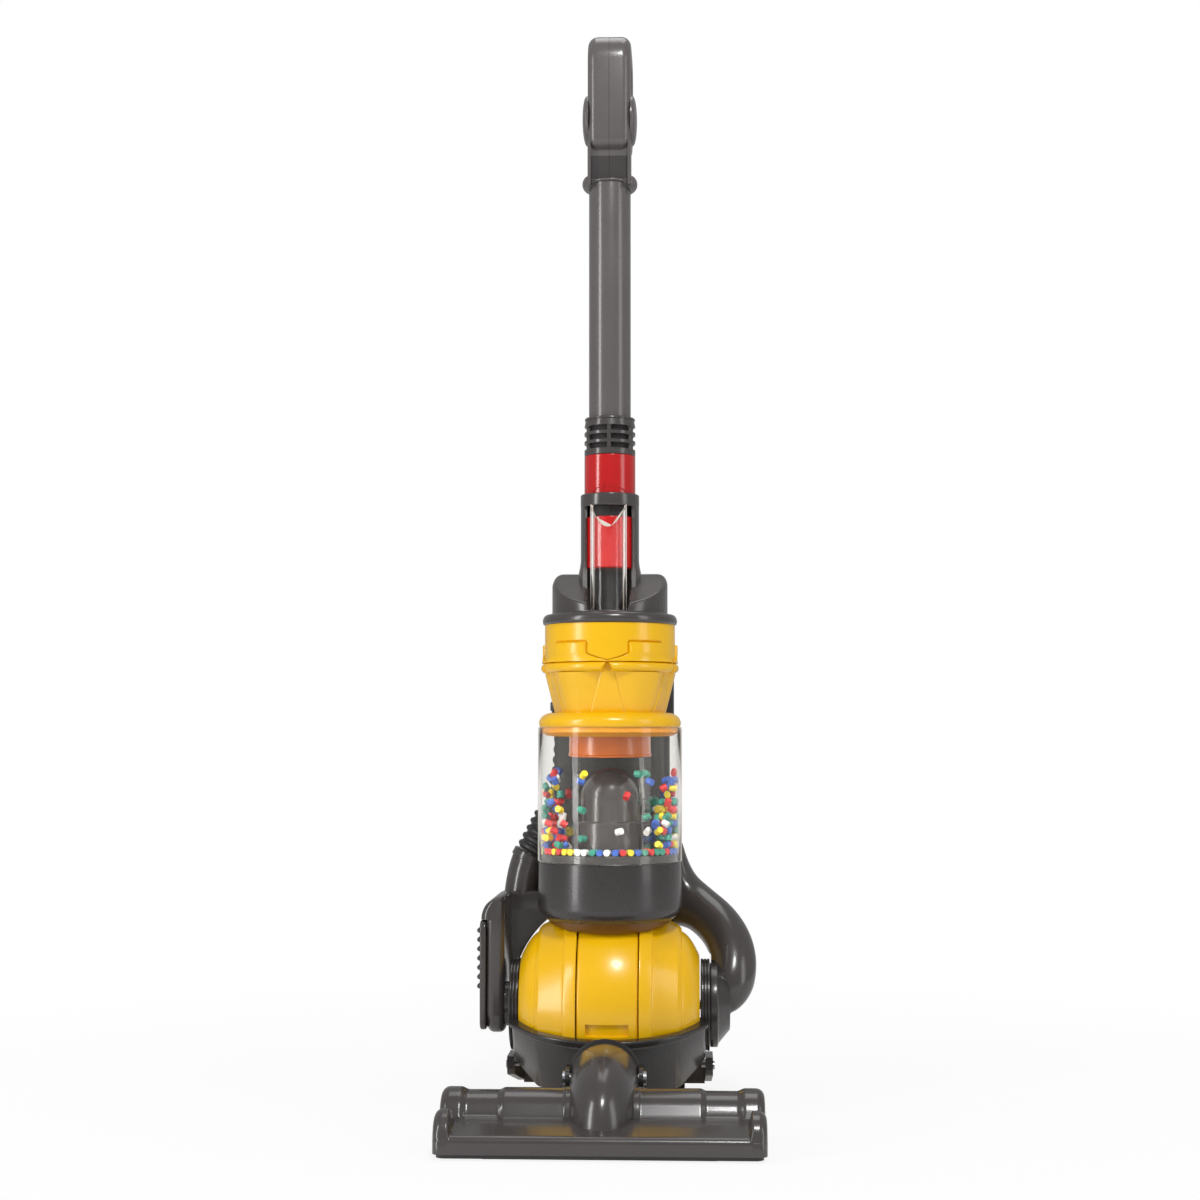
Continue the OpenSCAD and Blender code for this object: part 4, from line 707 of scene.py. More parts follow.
collar_lo, collar_hi = span("bin_collar")
rim_r = collar_hi.x
rim_wide = 8.4
rim_high = 6.6
collar_low = bin_hi.z
plug_low = collar_lo.z
plug_wall = 2.4
collar_high = collar_hi.z
band_r = bin_r - bin_wall - 0.2
collar_profile = [(0, collar_low), (band_r - plug_wall, collar_low), (band_r - plug_wall, plug_low)]
collar_profile += rounded([(band_r, plug_low), (band_r, collar_low - 0.4), (rim_r - 0.6, collar_low)],
                          [0.5, 0, 0.6], 3)
collar_profile += [(rim_r + rim_wide*(cos(a) - 1), collar_high + rim_high*(sin(a) - 1))
                   for a in steps(0, pi/2, 12)]
collar = lathe("bin_collar_skin", collar_profile + [(0, collar_high)], bin_axis, "Z", 128)
dress(collar, yellow_gloss, "upright", "bin_collar")
# The plug band below the rim is painted darker amber: painted shade under the rolled rim.
plug_painted_shade = moulded("plug_painted_shade_plastic", srgb(206, 136, 8), 0.3, 0.15)
paint(collar, plug_painted_shade, lambda spot: spot.z < collar_low - 0.2)

baffle_lo, baffle_hi = span("bin_baffle")
baffle_r = baffle_hi.x
baffle_wall = 2
# The baffle's orange is deepened: painted shade inside the clear bin.
baffle_painted_shade = moulded("baffle_painted_shade_plastic", srgb(192, 94, 2), 0.22, 0.15, 0.2)
baffle_line = rounded([
    (0, baffle_hi.z - baffle_wall), (0, baffle_hi.z), (baffle_r, baffle_hi.z), (baffle_r, baffle_lo.z + 1.6),
    (baffle_r + 0.6, baffle_lo.z + 1.2), (baffle_r + 0.6, baffle_lo.z), (baffle_r - baffle_wall, baffle_lo.z),
    (baffle_r - baffle_wall, baffle_hi.z - baffle_wall)], [0, 0, 0, 0.2, 0.3, 0.4, 0.4, 0], 3)
baffle = lathe("bin_baffle_skin", baffle_line, bin_axis, "Z", 96)
dress(baffle, baffle_painted_shade, "upright", "bin_baffle")

hood_lo, hood_hi = span("bin_dome")
hood_foot_r = hood_hi.x
hood_r = 18.6
hood_foot_top = hood_lo.z + 20
hood_side = hood_hi.z - hood_r
hood_line = rounded([(hood_foot_r, hood_lo.z), (hood_foot_r, hood_foot_top),
                     (hood_r + 0.3, hood_foot_top + 0.6), (hood_r, hood_side)], [0, 0.7, 0.6, 0], 4)
hood_line += arc((0, hood_side), hood_r, 4, 90, 16) + [(0, hood_lo.z)]
hood = lathe("bin_dome_skin", hood_line, bin_axis, "Z", 96, 50)
dress(hood, grey_gloss, "upright", "bin_dome")
white_plastic = moulded("white_fan_plastic", srgb(228, 228, 222), 0.35, 0.1)
coat_nodes(white_plastic, "impeller")


# Beads: short lengths of coloured plastic rod, loose in the bin. The lowest row lies round
# the wall on the floor; the others pile up at the two sides, and a few cling to the wall.
def value(tree, operation, a, b=0.0):
    return add(tree, "ShaderNodeMath", {0: a, 1: b}, operation=operation)


def chance(tree, low, high, index, seed):
    limits = {2: low, 3: high, "ID": index, "Seed": seed}
    return add(tree, "FunctionNodeRandomValue", limits, data_type="FLOAT").outputs[1]


def nodes_tree(name, **given):
    tree = bpy.data.node_groups.new(name, "GeometryNodeTree")
    tree.interface.new_socket("Geometry", in_out="INPUT", socket_type="NodeSocketGeometry")
    for kind, labels in given.items():
        for label in labels:
            tree.interface.new_socket(label, in_out="INPUT", socket_type="NodeSocket" + kind)
    tree.interface.new_socket("Material", in_out="INPUT", socket_type="NodeSocketMaterial")
    tree.interface.new_socket("Geometry", in_out="OUTPUT", socket_type="NodeSocketGeometry")
    return tree, add(tree, "NodeGroupInput").outputs


def finish_tree(tree, instances, material):
    real = add(tree, "GeometryNodeRealizeInstances", {"Geometry": instances})
    painted = add(tree, "GeometryNodeSetMaterial", {"Geometry": real, "Material": material})
    add(tree, "NodeGroupOutput", {"Geometry": painted})


def baked(obj):
    graph = bpy.context.evaluated_depsgraph_get()
    mesh = bpy.data.meshes.new_from_object(obj.evaluated_get(graph))
    bpy.data.objects.remove(obj)
    return mesh


def grow(name, tree, values, points=(), edges=(), sharp=38):
    seed_mesh = bpy.data.meshes.new(name + "_seed")
    seed_mesh.from_pydata([Vector(p)*MM for p in points], edges, [])
    seed_obj = bpy.data.objects.new(name + "_seed", seed_mesh)
    scene.collection.objects.link(seed_obj)
    modifier = seed_obj.modifiers.new("grow", "NODES")
    modifier.node_group = tree
    for item in tree.interface.items_tree:
        if item.in_out == "INPUT" and item.name in values:
            modifier[item.identifier] = values[item.name]
    mesh = baked(seed_obj)
    mesh.name = name
    return placed_mesh(name, mesh, sharp)


def bead_tree():
    tree, given = nodes_tree(
        "bead_heaps",
        Float=("Wall Radius", "Floor Height", "Axis Depth", "Bead Radius", "Bead Length", "Colour From",
               "Colour To"),
        Int=("Round Count", "Layers", "Rings", "Seed"))
    do = partial(value, tree)
    draw = partial(chance, tree)
    index = add(tree, "GeometryNodeInputIndex")
    seed = given["Seed"]
    per_ring = do("MULTIPLY", given["Round Count"], given["Layers"])
    total = do("MULTIPLY", per_ring, given["Rings"])
    ring = do("FLOOR", do("DIVIDE", index, per_ring))
    rest = do("MODULO", index, per_ring)
    layer = do("FLOOR", do("DIVIDE", rest, given["Round Count"]))
    slot = do("MODULO", rest, given["Round Count"])
    raised = do("GREATER_THAN", do("ADD", layer, ring), 0.5)
    jitter = do("MULTIPLY", draw(-0.3, 0.3, index, seed), raised)
    shifted = do("ADD", slot, do("ADD", jitter, do("MULTIPLY", layer, 0.5)))
    angle = do("MULTIPLY", do("DIVIDE", shifted, given["Round Count"]), 2*pi)
    away = do("SUBTRACT", given["Wall Radius"], do("MULTIPLY", ring, bead_ring_step*MM))
    height = do("ADD", given["Floor Height"], do("MULTIPLY", layer, bead_layer_step*MM))
    place = add(tree, "ShaderNodeCombineXYZ", {
        "X": do("MULTIPLY", away, do("COSINE", angle)),
        "Y": do("ADD", given["Axis Depth"], do("MULTIPLY", away, do("SINE", angle))),
        "Z": height})
    points = add(tree, "GeometryNodePoints", {"Count": total, "Position": place})
    side = do("ABSOLUTE", do("COSINE", angle))
    heap = add(tree, "ShaderNodeMapRange", {
        "Value": side, "From Min": 0.62, "From Max": 0.98, "To Min": 0.4, "To Max": 12.0},
        interpolation_type="SMOOTHSTEP")
    ceiling = do("MULTIPLY", heap, draw(0.25, 1.1, index, given["Layers"]))
    piled = do("LESS_THAN", layer, ceiling)
    packed = do("SUBTRACT", 0.56, do("MULTIPLY", ring, 0.18))
    thin = do("LESS_THAN", draw(0.0, 1.0, index, given["Rings"]), packed)
    cling = do("LESS_THAN", draw(0.0, 1.0, index, given["Round Count"]), 0.02)
    low_row = do("LESS_THAN", do("ADD", layer, ring), 0.5)
    kept = do("MAXIMUM", low_row, do("MAXIMUM", do("MULTIPLY", piled, thin), cling))
    hue = draw(0.0, 1.0, index, do("ADD", seed, 7.0))
    later_hue = do("SUBTRACT", 1.0, do("LESS_THAN", hue, given["Colour From"]))
    mine = do("MULTIPLY", do("LESS_THAN", hue, given["Colour To"]), later_hue)
    both = do("MULTIPLY", kept, mine)
    shown = add(tree, "FunctionNodeCompare", {0: both, 1: 0.5}, operation="GREATER_THAN")
    tumble = do("MULTIPLY", raised, draw(-1.5, 1.5, index, do("ADD", seed, 1.0)))
    loose = do("ADD", do("MULTIPLY", raised, 11.0), 1.0)
    twist = do("MULTIPLY", draw(-0.25, 0.25, index, do("ADD", seed, 3.0)), loose)
    tip = add(tree, "ShaderNodeCombineXYZ", {
        "X": do("ADD", tumble, pi/2),
        "Y": do("MULTIPLY", raised, draw(-1.5, 1.5, index, do("ADD", seed, 2.0))),
        "Z": do("ADD", angle, do("ADD", twist, pi/2))})
    rod = add(tree, "GeometryNodeMeshCylinder", {
        "Vertices": 14, "Radius": given["Bead Radius"], "Depth": given["Bead Length"]})
    placed = add(tree, "GeometryNodeInstanceOnPoints", {
        "Points": points, "Selection": shown, "Instance": rod, "Rotation": tip})
    finish_tree(tree, placed, given["Material"])
    return tree


bead_r = 2.05
bead_ring_step = 4.7
bead_layer_step = 4.3
bead_heaps = bead_tree()
bead_colours = (("blue", (58, 98, 186), 0.27), ("red", (206, 44, 46), 0.26), ("yellow", (242, 216, 44), 0.15),
                ("white", (236, 236, 232), 0.13), ("green", (44, 140, 118), 0.19))
hue_from = 0.0
for bead_name, bead_colour, bead_share in bead_colours:
    rod_plastic = moulded(bead_name + "_bead_plastic", srgb(*bead_colour), 0.34, 0.3)
    beads = grow(bead_name + "_beads_skin", bead_heaps, {
        "Wall Radius": (bin_r - bin_wall - bead_r - 0.9)*MM, "Floor Height": (bin_floor + bead_r)*MM,
        "Axis Depth": bin_axis.y*MM, "Round Count": 56, "Layers": 12, "Rings": 3, "Bead Radius": bead_r*MM,
        "Bead Length": 2*bead_r*MM, "Colour From": hue_from, "Colour To": hue_from + bead_share,
        "Seed": 12, "Material": rod_plastic})
    hue_from += bead_share
    dress(beads, rod_plastic, "upright", bead_name + "_beads")


# Cyclone pack: five hollow cones in a ring, moulded in yellow as one lower piece. Its
# bottle-shaped caps show in cut-outs of the drum above, with a thin joint line round them.
pack_lo, pack_hi = span("cyclone_pack")
drum_top = pack_hi.z
collar_top = pack_lo.z
ring_low = collar_top + 24.8
ring_high = ring_low + 6.4
ring_r = 43.4
drum_r = 41
ring_round = 3.2
pack_bore = 24
cone_axis = 20
cone_r = 16.2
cone_widen = 6.2
cone_pitch = radians(72)
bottle_half = 12.2
bottle_high = ring_high + 12
bottle_shoulder = ring_high + 5.4
bottle_proud = 1.5
bottle_swell = 0.9
groove_line = 1.1
facet_low = 10
facet_high = 3.7
facet_proud = 0.7


def facet_half(z):
    if z < ring_low:
        return facet_low + (facet_high - facet_low)*(z - collar_top)/(ring_low - collar_top)
    return facet_high*max(ring_high - z, 0)/(ring_high - ring_low)


def cone_reach(turn, z):
    t = min((z - collar_top)/(ring_low - collar_top), 1)
    radius = cone_r + cone_widen*t
    bulge = cone_axis*cos(turn) + sqrt(radius**2 - (cone_axis*sin(turn))**2)
    beside = cone_pitch/2 - abs(turn)
    width = facet_half(z)
    across = cone_axis*sin(cone_pitch/2) - width
    flat = cone_axis*cos(cone_pitch/2) + sqrt(radius**2 - across**2)
    chord = flat/cos(beside)
    proud = facet_proud*(1 - step(width - 0.1, width + 0.5, chord*sin(beside)))
    return max(bulge, chord + proud) if chord*sin(beside) < width + 0.5 else bulge


def pack_reach(turn, z):
    if z < ring_low:
        return cone_reach(turn, z)
    beside = cone_pitch/2 - abs(turn)
    if z < ring_high:
        level = (z - (ring_low + ring_high)/2)/((ring_high - ring_low)/2)
        bead = ring_r - ring_round + ring_round*sqrt(max(1 - level*level, 0))
        notch = step(facet_half(z) - 0.5, facet_half(z) + 1.2, ring_r*beside)
        return cone_reach(turn, ring_low) + (bead - cone_reach(turn, ring_low))*notch
    skirt = max(bottle_shoulder - z, 0)/(bottle_shoulder - ring_high)
    half = bottle_half + (ring_r*cone_pitch/2 - bottle_half + 0.4)*skirt**1.4
    from_edge = half - drum_r*abs(turn)
    inside = step(0, 0.7, from_edge)*step(0, 0.7, bottle_high - z)
    line = (1 - step(0.1, 0.75, abs(from_edge + 0.35)))*step(-0.6, 0, bottle_high - z)
    brim = (1 - step(0.1, 0.75, abs(bottle_high - z + 0.3)))*step(-0.5, 0.2, from_edge)
    bottle_round = bottle_swell*max(1 - (drum_r*turn/bottle_half)**2, 0)*(1 - skirt)
    return drum_r - groove_line*max(line, brim) + (bottle_proud + bottle_round + 0.5*skirt**3)*inside


pack_levels = (steps(collar_top, ring_low - 0.05, 22) + steps(ring_low, ring_high - 0.02, 18)
               + steps(ring_high + 0.02, bottle_high + 1.2, 40) + steps(bottle_high + 1.6, drum_top, 4))


def pack_ring(a):
    from_front = a + pi/2
    turn = (from_front % cone_pitch) - cone_pitch/2
    out = heading(a)
    skin = [by_bin(out, pack_reach(turn, z), z) for z in pack_levels]
    return skin + [by_bin(out, pack_bore, drum_top), by_bin(out, pack_bore, collar_top)]


pack = loft("cyclone_pack_skin", [pack_ring(a) for a in turns(640)], closed=True, sharp=48)
dress(pack, yellow_gloss, "upright", "cyclone_pack")


# Shoulder cap: a grey lid over the pack with a rolled flange. Its front is cut off on a
# slant, and a hollow heel at the back closes the top of the spine.
cap_lo, cap_hi = span("shoulder_cap")
cap_top = cap_hi.z
flange_r = cap_hi.x
flange_top = drum_top + 6.6
flange_wide = 3
flange_round = 4
lid_r = 36.4
lid_fillet = 1.2
lid_round = 5
lid_sharp = 1.1
crease = 1.6
slant_low = flange_top + 4
slant_end = 8
slot_half = 11.8
seat_r = 18.8


def lid_height(x, y):
    slope = (cap_top - slant_low)/(slant_end + lid_r)
    slant = slant_low + slope*(y + lid_r)
    top = min(slant, cap_top) - max(crease - abs(slant - cap_top), 0)**2/(4*crease)
    beside_slot = step(slot_half, slot_half + 1.8, abs(x)) if y < 0 else 1
    return flange_top + 0.8 + (top - flange_top - 0.8)*beside_slot


def lid_ring(a):
    out = heading(a)
    profile = [(flange_r - 1.6, drum_top)]
    profile += [(flange_r - flange_wide + flange_wide*cos(t), flange_top - flange_round + flange_round*sin(t))
                for t in steps(-0.5, pi/2, 9)]
    profile += [(lid_r + lid_fillet - lid_fillet*sin(t), flange_top + lid_fillet - lid_fillet*cos(t))
                for t in steps(0, pi/2, 5)]
    turn_in = lid_sharp + (lid_round - lid_sharp)*step(-lid_r*0.75, slant_end, lid_r*out.y)
    edge = [(lid_r - turn_in + turn_in*cos(t), turn_in*sin(t) - turn_in) for t in steps(0, pi/2, 8)]
    edge += [(r, 0) for r in steps(lid_r - turn_in - 0.5, seat_r, 14)]
    profile += [(r, lid_height(r*out.x, r*out.y) + dip) for r, dip in edge]
    return [by_bin(out, r, z) for r, z in profile + [(seat_r, drum_top)]]


def rounded_box(name, lo, hi, radius, count=5):
    corners = [(lo[0] + radius, lo[2] + radius, 180), (hi[0] - radius, lo[2] + radius, 270),
               (hi[0] - radius, hi[2] - radius, 0), (lo[0] + radius, hi[2] - radius, 90)]
    ends = [(lo[1] + radius - radius*sin(t), radius*cos(t)) for t in steps(pi/2, 0, count)]
    ends += [(hi[1] - radius + radius*sin(t), radius*cos(t)) for t in steps(0, pi/2, count)]
    rings = []
    for y, r in ends:
        ring = []
        for x, z, start in corners:
            for a in steps(radians(start), radians(start + 90), count):
                ring.append((x + r*cos(a), y, z + r*sin(a)))
        rings.append(ring)
    return loft(name, rings)


lid = loft("shoulder_lid", [lid_ring(a) for a in turns(240)], closed=True, sharp=50)
heel_half = 32.4
heel = rounded_box("shoulder_heel", (-heel_half, bin_axis.y + seat_r - 2, drum_top + 1),
                   (heel_half, cap_hi.y, cap_top), 5)
foot_inset = 0.7
heel_foot = rounded_box("shoulder_heel_foot", (foot_inset - heel_half, bin_axis.y + drum_r + 1, cap_lo.z),
                        (heel_half - foot_inset, cap_hi.y - foot_inset, cap_top - 4), 3)
cap_skin = joined("shoulder_cap_skin", [lid, heel, heel_foot], sharp=50)
dress(cap_skin, grey_gloss, "upright", "shoulder_cap")


# Wand cradle and clear duct: a grey ring on two rails guides the wand, and a clear
# half tube with a scooped top stands in front of it on the cap.
cradle_lo, cradle_hi = span("wand_cradle")
duct_lo, duct_hi = span("clear_duct")
cradle_r = 18.4
cradle_bore = 16.5
cradle_ring_h = 8
rail_flare = 1.2
flare_high = 9
window_half = 15.6
rail_start = asin(window_half/cradle_r)


def rail_section(a):
    out = Vector((sin(a), -cos(a), 0))
    section = []
    levels = steps(cradle_lo.z + 1, cap_top, 2) + steps(cap_top + 1, cap_top + flare_high, 8)
    for z in levels + [cradle_hi.z - 1]:
        flare = rail_flare*max(1 - max(z - cap_top, 0)/flare_high, 0)**2
        section.append(by_bin(out, cradle_r + flare, z))
    return section + [by_bin(out, cradle_bore, z) for z in (cradle_hi.z - 1, cradle_lo.z + 1)]


rails = loft("cradle_rails", [rail_section(a) for a in steps(rail_start, 2*pi - rail_start, 72)], sharp=50)
hoop_line = box_line(cradle_bore, cradle_hi.z - cradle_ring_h, cradle_r + 0.1, cradle_hi.z, 0.9, 4)
hoop = lathe("cradle_hoop", hoop_line, bin_axis, "Z", 96)
cradle = joined("wand_cradle_skin", [rails, hoop], sharp=50)
dress(cradle, grey_gloss, "upright", "wand_cradle")

duct_half = 11.2
duct_wall = 1.5
duct_front = duct_lo.y
duct_back = duct_hi.y
scoop_deep = 15
scoop_run = 14


def duct_outline(half, ahead):
    line = [(-half, duct_back)]
    line += [(half*sin(t), ahead + half - half*cos(t)) for t in steps(-pi/2, pi/2, 28)]
    return line + [(half, duct_back)]


duct_rings = []
outer_line = duct_outline(duct_half, duct_front)
inner_line = duct_outline(duct_half - duct_wall, duct_front + duct_wall)
for level in steps(0, 1, 24):
    ring = []
    for x, y in outer_line + inner_line[::-1]:
        deep = max(duct_back + 2 - y, 0)
        scoop = (1 - (min(abs(x), duct_half)/duct_half)**2)*step(0, scoop_run, deep)
        top = duct_hi.z - scoop_deep*scoop
        ring.append((bin_axis.x + x, y, duct_lo.z + (top - duct_lo.z)*level))
    duct_rings.append(ring)
duct_skin = loft("clear_duct_skin", duct_rings, sharp=50)
dress(duct_skin, clear_styrene, "upright", "clear_duct")


# Wand: a red tube that drops into the cradle, a slotted grey collar on its top, and a
# long grey tube that carries the handle. A small moulded arrow marks which way it goes.
red_lo, red_hi = span("red_tube")
vent_lo, vent_hi = span("vent_collar")
tube_lo, tube_hi = span("wand_tube")
red_r = red_hi.x
tube_r = tube_hi.x
red_gloss = moulded("red_gloss_plastic", srgb(182, 13, 15), 0.16, 0.14, 0.3)
wand_grey = moulded("wand_grey_plastic", srgb(90, 86, 85), 0.22, 0.2, 0.2)
red_wall = 3.4
latch_r = red_r - 2.4
latch_high = cradle_hi.z - cradle_ring_h + 1
latch_low = latch_high - 7.6
red_line = rounded([
    (0, red_lo.z), (red_r, red_lo.z), (red_r, latch_low), (latch_r, latch_low + 0.3), (latch_r, latch_high),
    (red_r, latch_high + 0.3), (red_r, red_hi.z - 0.1), (red_r - red_wall, red_hi.z - 0.1),
    (red_r - red_wall, red_lo.z + 2), (0, red_lo.z + 2)], [0, 1.2, 0.5, 0, 0, 0.3, 0.5, 0.4, 0.4, 0], 4)
red_body = lathe("red_tube_body", red_line, bin_axis, "Z", 112)


def on_red(x, z, rise):
    return (bin_axis.x + x, bin_axis.y - sqrt((red_r + rise)**2 - x*x), z)


def raised_mark(name, outline, rise):
    count = len(outline)
    points = [on_red(x, z, -0.3) for x, z in outline] + [on_red(x, z, rise) for x, z in outline]
    faces = [tuple(range(count)), tuple(range(2*count - 1, count - 1, -1))]
    faces += [(k, (k + 1) % count, count + (k + 1) % count, count + k) for k in range(count)]
    return mesh_object(name, points, faces)


mark_x = -4.6
mark_z = cradle_hi.z + 1.8
arrow_line = [(-0.9, 0), (0.9, 0), (0.9, 3.2), (2.2, 3.2), (0, 6.8), (-2.2, 3.2), (-0.9, 3.2)]
arrow = raised_mark("red_arrow", [(mark_x + x, mark_z + z) for x, z in arrow_line], 0.35)
pad_half = 11.4
pad_high = 5.6
pad_z = mark_z - 2.6
pad_edge = 0.7
pad_line = [(pad_half*cos(t), pad_z + pad_high*sin(t)) for t in steps(0, pi, 18)]
pad_line += [((pad_half - pad_edge)*cos(t), pad_z + (pad_high - pad_edge)*sin(t))
             for t in steps(pi, 0, 18)]
pad_rim = raised_mark("red_pad_rim", pad_line, 0.25)
red_tube = joined("red_tube_skin", [red_body, arrow, pad_rim], sharp=40)
dress(red_tube, red_gloss, "wand", "red_tube")

# Near-black on slot and groove floors: painted shade in the recesses.
slot_painted_shade = moulded("slot_painted_shade_plastic", srgb(24, 22, 22), 0.6, 0.2)


def paint_slot_shade(obj, depth_r, low, high):
    paint(obj, slot_painted_shade, lambda spot: spot.xy.length < depth_r and low < spot.z < high)


# Painted shade in the latch groove just below the cradle ring.
paint_slot_shade(red_tube, latch_r + 0.3, latch_low, latch_high + 0.5)

vent_rows = 3
vent_slot = 3.4
vent_first = vent_lo.z + 3.9
vent_pitch = 5.5
vent_floor = red_r - 2.6
vent_profile = [(tube_r + 0.2, vent_lo.z), (red_r - 0.4, vent_lo.z), (red_r, vent_lo.z + 0.4)]
for row in range(vent_rows):
    low = vent_first + row*vent_pitch
    vent_profile += [(red_r, low - 0.2), (red_r - 0.2, low), (vent_floor, low), (vent_floor, low + vent_slot),
                     (red_r - 0.2, low + vent_slot), (red_r, low + vent_slot + 0.2)]
vent_profile += rounded([(red_r, vent_hi.z - 2), (red_r - 0.4, vent_hi.z), (tube_r + 0.2, vent_hi.z)],
                        [0.5, 0.8, 0], 4)


def rib_tree():
    tree, given = nodes_tree("vent_ribs", Int=("Rows", "Ribs"), Float=("Pitch", "Reach"),
                             Vector=("Rib Size", "Start"))
    do = partial(value, tree)
    index = add(tree, "GeometryNodeInputIndex")
    row = do("FLOOR", do("DIVIDE", index, given["Ribs"]))
    turn = do("DIVIDE", do("MODULO", index, given["Ribs"]), given["Ribs"])
    angle = do("SUBTRACT", do("MULTIPLY", turn, 2*pi), pi/2)
    offset = add(tree, "ShaderNodeCombineXYZ", {
        "X": do("MULTIPLY", given["Reach"], do("COSINE", angle)),
        "Y": do("MULTIPLY", given["Reach"], do("SINE", angle)),
        "Z": do("MULTIPLY", row, given["Pitch"])})
    place = add(tree, "ShaderNodeVectorMath", {0: given["Start"], 1: offset}, operation="ADD")
    total = do("MULTIPLY", given["Rows"], given["Ribs"])
    points = add(tree, "GeometryNodePoints", {"Count": total, "Position": place})
    block = add(tree, "GeometryNodeMeshCube", {"Size": given["Rib Size"]})
    spin = add(tree, "ShaderNodeCombineXYZ", {"Z": angle})
    placed = add(tree, "GeometryNodeInstanceOnPoints", {
        "Points": points, "Instance": block, "Rotation": spin})
    finish_tree(tree, placed, given["Material"])
    return tree


vent_body = lathe("vent_body", vent_profile, bin_axis, "Z", 112)
vent_ribs = grow("vent_ribs", rib_tree(), {
    "Rows": vent_rows, "Ribs": 6, "Pitch": vent_pitch*MM, "Reach": (red_r - 1.3)*MM,
    "Rib Size": Vector((2.5, 2.4, vent_slot + 0.3))*MM,
    "Start": (bin_axis + Vector((0, 0, vent_first + vent_slot/2)))*MM, "Material": grey_gloss})
vent = joined("vent_collar_skin", [vent_body, vent_ribs], sharp=40)
dress(vent, grey_gloss, "wand", "vent_collar")
# Painted shade on the floors of the vent slots.
paint_slot_shade(vent, vent_floor + 0.3, vent_lo.z + 2, vent_hi.z - 2)

tube_wall = 1.6
tube_line = box_line(tube_r - tube_wall, tube_lo.z, tube_r, tube_hi.z, 0.5, 4)
tube = lathe("wand_tube_skin", tube_line, bin_axis, "Z", 112)
dress(tube, wand_grey, "wand", "wand_tube")


# Handle: two grey shells screwed together along the middle, with a closed grip loop, a
# recessed neck panel, a domed cap over the pivot on each side, and a ring on the tube.
def slab(name, outlines, centre_x, width, bevel):
    curve = bpy.data.curves.new(name, "CURVE")
    curve.dimensions = "2D"
    curve.fill_mode = "BOTH"
    curve.extrude = (width/2 - bevel)*MM
    curve.bevel_depth = bevel*MM
    curve.bevel_resolution = 5
    curve.offset = -bevel*MM
    for outline in outlines:
        line = curve.splines.new("POLY")
        line.points.add(len(outline) - 1)
        line.use_cyclic_u = True
        for point, (y, z) in zip(line.points, outline):
            point.co = (y*MM, z*MM, 0, 1)
    draft = bpy.data.objects.new(name, curve)
    scene.collection.objects.link(draft)
    flat = baked(draft)
    points = [(centre_x + v.co.z/MM, v.co.x/MM, v.co.y/MM) for v in flat.vertices]
    faces = [tuple(face.vertices) for face in flat.polygons]
    return mesh_object(name, points, faces, 30)


def keep_side(obj, side, gap):
    bm = bmesh.new()
    bm.from_mesh(obj.data)
    bmesh.ops.bisect_plane(bm, geom=bm.verts[:] + bm.edges[:] + bm.faces[:], plane_co=(side*gap*MM, 0, 0),
                           plane_no=(side, 0, 0), clear_inner=True)
    rim = [edge for edge in bm.edges if edge.is_boundary]
    bmesh.ops.triangle_fill(bm, use_beauty=True, edges=rim)
    bmesh.ops.recalc_face_normals(bm, faces=bm.faces)
    bm.to_mesh(obj.data)
    bm.free()
    obj.data.set_sharp_from_angle(angle=radians(30))


grip_ring_lo, grip_ring_hi = span("handle_ring")
shell_lo, shell_hi = span("handle_right_shell")
handle_half = shell_hi.x
loop_y0 = shell_lo.y
loop_y1 = shell_hi.y
loop_top = shell_hi.z
loop_high = 74
loop_bottom = loop_top - loop_high
grip_t = 14
loop_foot = 37
seam_half = 0.08
grip_bevel = 6.2


def loop_of(y0, z0, y1, z1, radii):
    line = []
    for r, start in zip(radii, (0, 90, 180, 270)):
        y = y1 - r if start in (0, 270) else y0 + r
        z = z1 - r if start < 180 else z0 + r
        line += arc((y, z), r, start, start + 90, 12)
    return line


loop_line = loop_of(loop_y0, loop_bottom, loop_y1, loop_top, (20, 18, 7, 34))
hole_line = loop_of(loop_y0 + grip_t, loop_bottom + loop_foot, loop_y1 - grip_t, loop_top - grip_t, [9]*4)
neck_half = 13.7
neck_front = 13.6
neck_back = 13.2
panel_half = 11.4
panel_deep = 3.4
neck_low = grip_ring_lo.z + 1.5
# Darker grey on the recessed neck panel: painted shade in the recess.
neck_panel_painted_shade = moulded("neck_panel_painted_shade_plastic", srgb(52, 48, 48), 0.3, 0.2)


def neck_ring(side, z):
    flat = [(seam_half, -neck_front + panel_deep), (panel_half - 0.8, -neck_front + panel_deep),
            (panel_half, -neck_front + panel_deep - 0.8), (panel_half + 0.3, -neck_front),
            (neck_half - 1.2, -neck_front + 0.2), (neck_half - 0.3, -neck_front + 1.2),
            (neck_half, -neck_front + 3)]
    back = [(neck_half*cos(t), neck_back*sin(t)) for t in steps(0, pi/2 - 0.02, 10)]
    return [(bin_axis.x + side*x, bin_axis.y + y, z) for x, y in flat + back + [(seam_half, neck_back)]]


def in_panel(spot):
    return abs(spot.x) < panel_half and -neck_front + 1 < spot.y < 0 and neck_low < spot.z < loop_bottom


for side, node in ((-1, "handle_left_shell"), (1, "handle_right_shell")):
    grip = slab(node + "_grip", [loop_line, hole_line], 0, 2*handle_half, grip_bevel)
    keep_side(grip, side, seam_half)
    neck = loft(node + "_neck", [neck_ring(side, z) for z in steps(neck_low, loop_bottom + 5, 3)])
    shell = joined(node + "_skin", [grip, neck], 30)
    dress(shell, wand_grey, "wand", node)
    # Paints shade onto the panel's recessed floor.
    paint(shell, neck_panel_painted_shade, in_panel)

